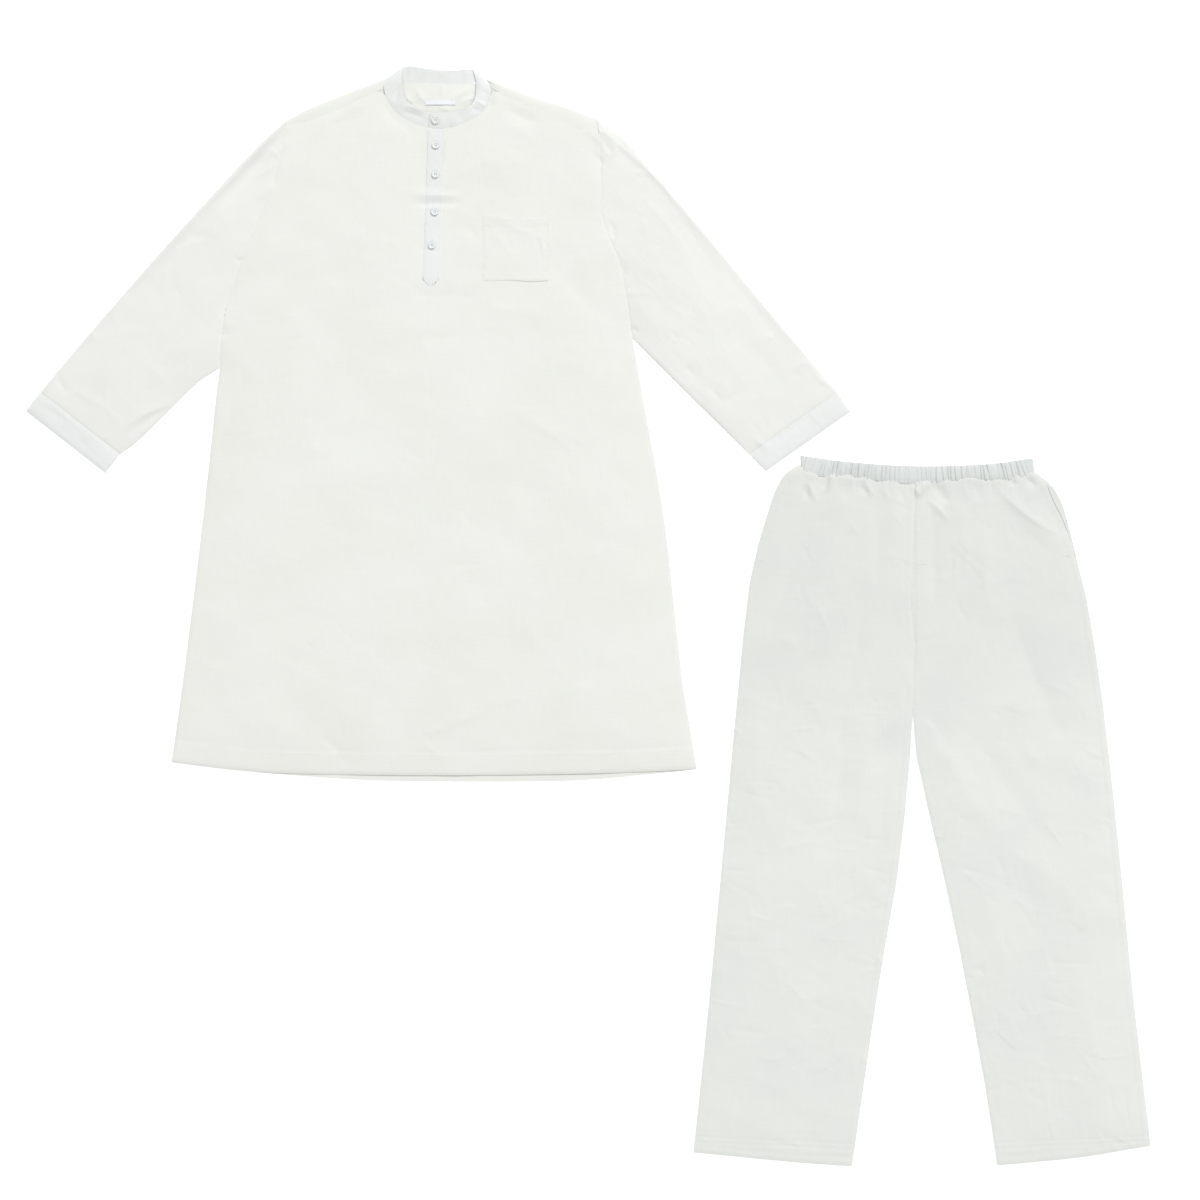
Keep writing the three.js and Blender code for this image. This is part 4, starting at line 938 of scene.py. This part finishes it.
TROUSER_CREASES += small_creases(11, 80, (-170, 740), (170, 1000), 100, 0.65)
TROUSER_CREASES += small_creases(12, 150, (-310, 10), (-20, 740), 20, 0.6)
TROUSER_CREASES += small_creases(13, 150, (20, 10), (320, 740), -40, 0.6)
GATHER_STEP = 8.6
PUFFS = (
    (-153, 8), (-126, 8), (-104, 14), (-73, 9), (-38, 11), (-1, 8), (17, 9), (43, 10), (72, 9), (87, 8), (119, 9),
    (145, 9), (167, 7),
)
FLY_WIDE, FLY_LOW, FLY_TURN, FLY_BAR, FLY_HIGH = 17, 770, 30, 883, 1000
LEG_HEMS, LEG_EDGE, HEM_SLOPE = (19, 26.5), 10, 0.045
CROTCH, WAIST_EDGE, WAIST_HALF, SEAM_NEAR = 690, 985, 172, 12
# the trousers' colour carries painted shade, a little darker from the thighs up over the hips to the waist
trouser_cotton = weave_material("slub_cotton_trousers", "#e4e6e1", "#e0e2df", painted_shade_between=(-247, -7))


def waist_line(x):
    """The height of the waist seam, which sags in the middle."""
    return 1001 + 10 * (x / WAIST_HALF) ** 2


def puffs_at(x):
    """How far the fronts' cloth stands up over the waistband at a place along the seam, from 0 to 1."""
    return sum(bell(x - middle, wide) for middle, wide in PUFFS)


def fronts_sewing(x, y, from_rim):
    """The small folds that run down from the waist seam and the puffs above them, the strip of a mock fly
    beside the centre seam, and the dips of the stitching at the seams and hems."""
    drop = np.maximum(waist_line(x) - y, 0)
    phase = 2 * math.pi * x / GATHER_STEP + 1.4 * np.sin(x / 23) + 0.02 * drop * np.sign(x)
    strength = 0.55 + 0.45 * np.sin(x / 17 + 1.2)
    gathers = 0.4 * strength * np.sin(phase) * np.exp(-drop / (12 + 10 * strength))
    puffs = (0.9 + 1.8 * puffs_at(x)) * np.exp(-drop / 8)
    fly_end = FLY_WIDE * np.sqrt(np.clip((y - FLY_LOW) / FLY_TURN, 0, 1))
    fly = 0.55 * fading((x - fly_end) / 0.6) * (x > 0) * (y > FLY_LOW)
    from_foot = y - HEM_SLOPE * np.abs(x)
    hems = -0.3 * sum(bell(from_foot - deep, 1.8) for deep in LEG_HEMS)
    side = -0.35 * bell(from_rim - LEG_EDGE, 1.6) * (drop > 20) * (np.abs(x) > SEAM_NEAR)
    return gathers + puffs + fly + hems + side


def leg_relief(x, y):
    """What the fronts' meshes have to be fine enough for."""
    return crease_relief(x, y, TROUSER_CREASES) + fronts_sewing(x, y, 0)


def leg_roll(x, y):
    """A front leg's edge lies nearly flat at the centre seam and turns over more at the waist."""
    return np.select([y > WAIST_EDGE, (y > CROTCH) & (np.abs(x) < SEAM_NEAR)], [SEAM_ROLL, 0.4], 0.6)


def leg_reach(x, y):
    """A front leg meets the other one at the centre seam, and elsewhere it covers the back's edge."""
    return np.where((y > CROTCH) & (np.abs(x) < SEAM_NEAR), 0.5, 1.2)


trouser_stitches = []
for side, outward in (("right", -1), ("left", 1)):
    leg = outer_sheet(f"trousers_front_{side}", f"leg_front_{side}", 22)
    refine(leg, TROUSERS_FOOT, leg_relief)
    lay_creases(leg, TROUSERS_FOOT, TROUSER_CREASES, roll=leg_roll, reach=leg_reach, extra=fronts_sewing)
    points = points_of(leg)
    x, y = on_garment(points, TROUSERS_FOOT)
    points[:, 1] += (1.6 + 2.4 * puffs_at(x)) * np.exp(-np.maximum(waist_line(x) - y, 0) / 4)
    set_points(leg, points)
    crotch = TROUSERS_FOOT[1] + CROTCH
    leg_paths = [edge_path(leg, deep, lambda x, y, z, way: way.y < -0.7) for deep in LEG_HEMS]
    leg_paths.append(edge_path(leg, LEG_EDGE, lambda x, y, z, way: way.x * outward > 0.7))
    leg_paths.append(edge_path(leg, LEG_EDGE, lambda x, y, z, way: way.x * outward < -0.7 and y < crotch))
    give_wall(leg)
    dress(leg, trouser_cotton, "trouser_cloth", f"trousers_front_{side}")
    trouser_stitches += [pair for path in leg_paths for pair in stitches_along(leg, path)]
    foot = np.array(TROUSERS_FOOT)
    if side == "left":
        curl = [(FLY_WIDE * math.cos(t), FLY_LOW + FLY_TURN * (1 - math.sin(t))) for t in np.linspace(0, 1.45, 12)]
        trouser_stitches += stitches_along(leg, np.array([(FLY_WIDE, FLY_HIGH), *curl]) + foot)
        tacks = [((1, FLY_BAR), (16, FLY_BAR)), ((215, 896), (228, 894))]
    else:
        tacks = [((-233, 889), (-225, 889))]
    for start, end in tacks:
        trouser_stitches += bar_tack(leg, foot + start, foot + end)

# Trousers backs
# Two back legs of the same cotton, flat on the table under the fronts and seamed to them along the
# sides, inside the legs and at the hems' ends.
for side in ("right", "left"):
    leg = outer_sheet(f"trousers_back_{side}", f"leg_back_{side}", 30, smooth=1)
    give_wall(leg)
    dress(leg, trouser_cotton, "trouser_cloth", f"trousers_back_{side}")

# Pocket facing
# The strip of the same cotton behind the wearer's left side pocket, showing in its slightly open mouth.
# It is sewn to the back leg and holds the pocket bag.
facing = outer_sheet("trousers_pocket_facing", "pocket_facing", 8, smooth=1)
give_wall(facing)
dress(facing, trouser_cotton, "trouser_cloth", "trousers_pocket_facing")

# Waistband
# A casing of the same cotton over a wide elastic, sewn to the legs' top edges. The elastic draws it up
# into about sixty narrow valleys across the front.
# its colour is painted darker than the legs' cotton, as painted shade for the dense gathers
waist_cotton_painted_darker = weave_material("waist_cotton_painted_darker", "#d9dddb", "#d2d6d4", wrinkle=0.2)
BAND_CREASES = [
    (-109, 1042, -92, 1024, 0, -1.6, 3, 0.3), (-101, 1040, -86, 1022, 0, 1.0, 3), (63, 1040, 55, 1024, 0, -1.6, 3),
    (105, 1042, 124, 1018, 2, -1.5, 3), (112, 1040, 134, 1024, 2, 1.0, 3), (20, 1040, 14, 1022, 0, -0.9, 2.5),
]


def gather_valleys():
    """Where the casing is drawn together: each narrow valley's place at the seam and at the top edge, its
    depth and its width, uneven as elastic leaves them. They stand up in the middle and lean in at the ends."""
    draw = random.Random(21)
    rows, x = [], -171
    while x < 174:
        lean = -10 * x / WAIST_HALF + draw.uniform(-2.5, 2.5)
        rows.append((x, x + lean, draw.uniform(0.4, 1.9), draw.uniform(0.6, 1.4)))
        x += draw.choice((2.8, 4.4, 6.6, 8.8)) * draw.uniform(0.8, 1.2)
    return rows


GATHER_ROWS = gather_valleys()
BAND_LOW, BAND_HIGH = 1008, 1040


def gathers_across(x, y, from_rim=0):
    """The casing's gathers: narrow valleys with a round crest beside each, sunk under the fronts' puffs."""
    t = (y - BAND_LOW) / (BAND_HIGH - BAND_LOW)
    folds = np.zeros_like(x)
    for low, high, depth, width in GATHER_ROWS:
        across = x - low - (high - low) * t
        folds += 0.45 * depth * bell(across - 2.4, 1.8) - depth * bell(across, width)
    under = -(0.3 + 0.8 * puffs_at(x)) * np.exp(-np.maximum(y - waist_line(x) - 1, 0) / 3)
    return folds + under + crease_relief(x, y, BAND_CREASES)


waistband = outer_sheet("trousers_waistband", "waistband", 5, middle=2.55 * MM)
refine(waistband, TROUSERS_FOOT, gathers_across, least=1.0, miss=0.05, passes=3)
lay_creases(waistband, TROUSERS_FOOT, [], base=3.2, roll=0.3, reach=0.2, extra=gathers_across, rough=0.3)
give_wall(waistband, thick=1.0)
dress(waistband, waist_cotton_painted_darker, "waistband_cloth", "trousers_waistband")

# Trousers stitching
# The same thread: the hems, the rows beside the side seams and inside the legs, the mock fly and the
# bar tacks, all laid out with the fronts above.
sew("trousers_topstitching", trouser_stitches, thread_white)
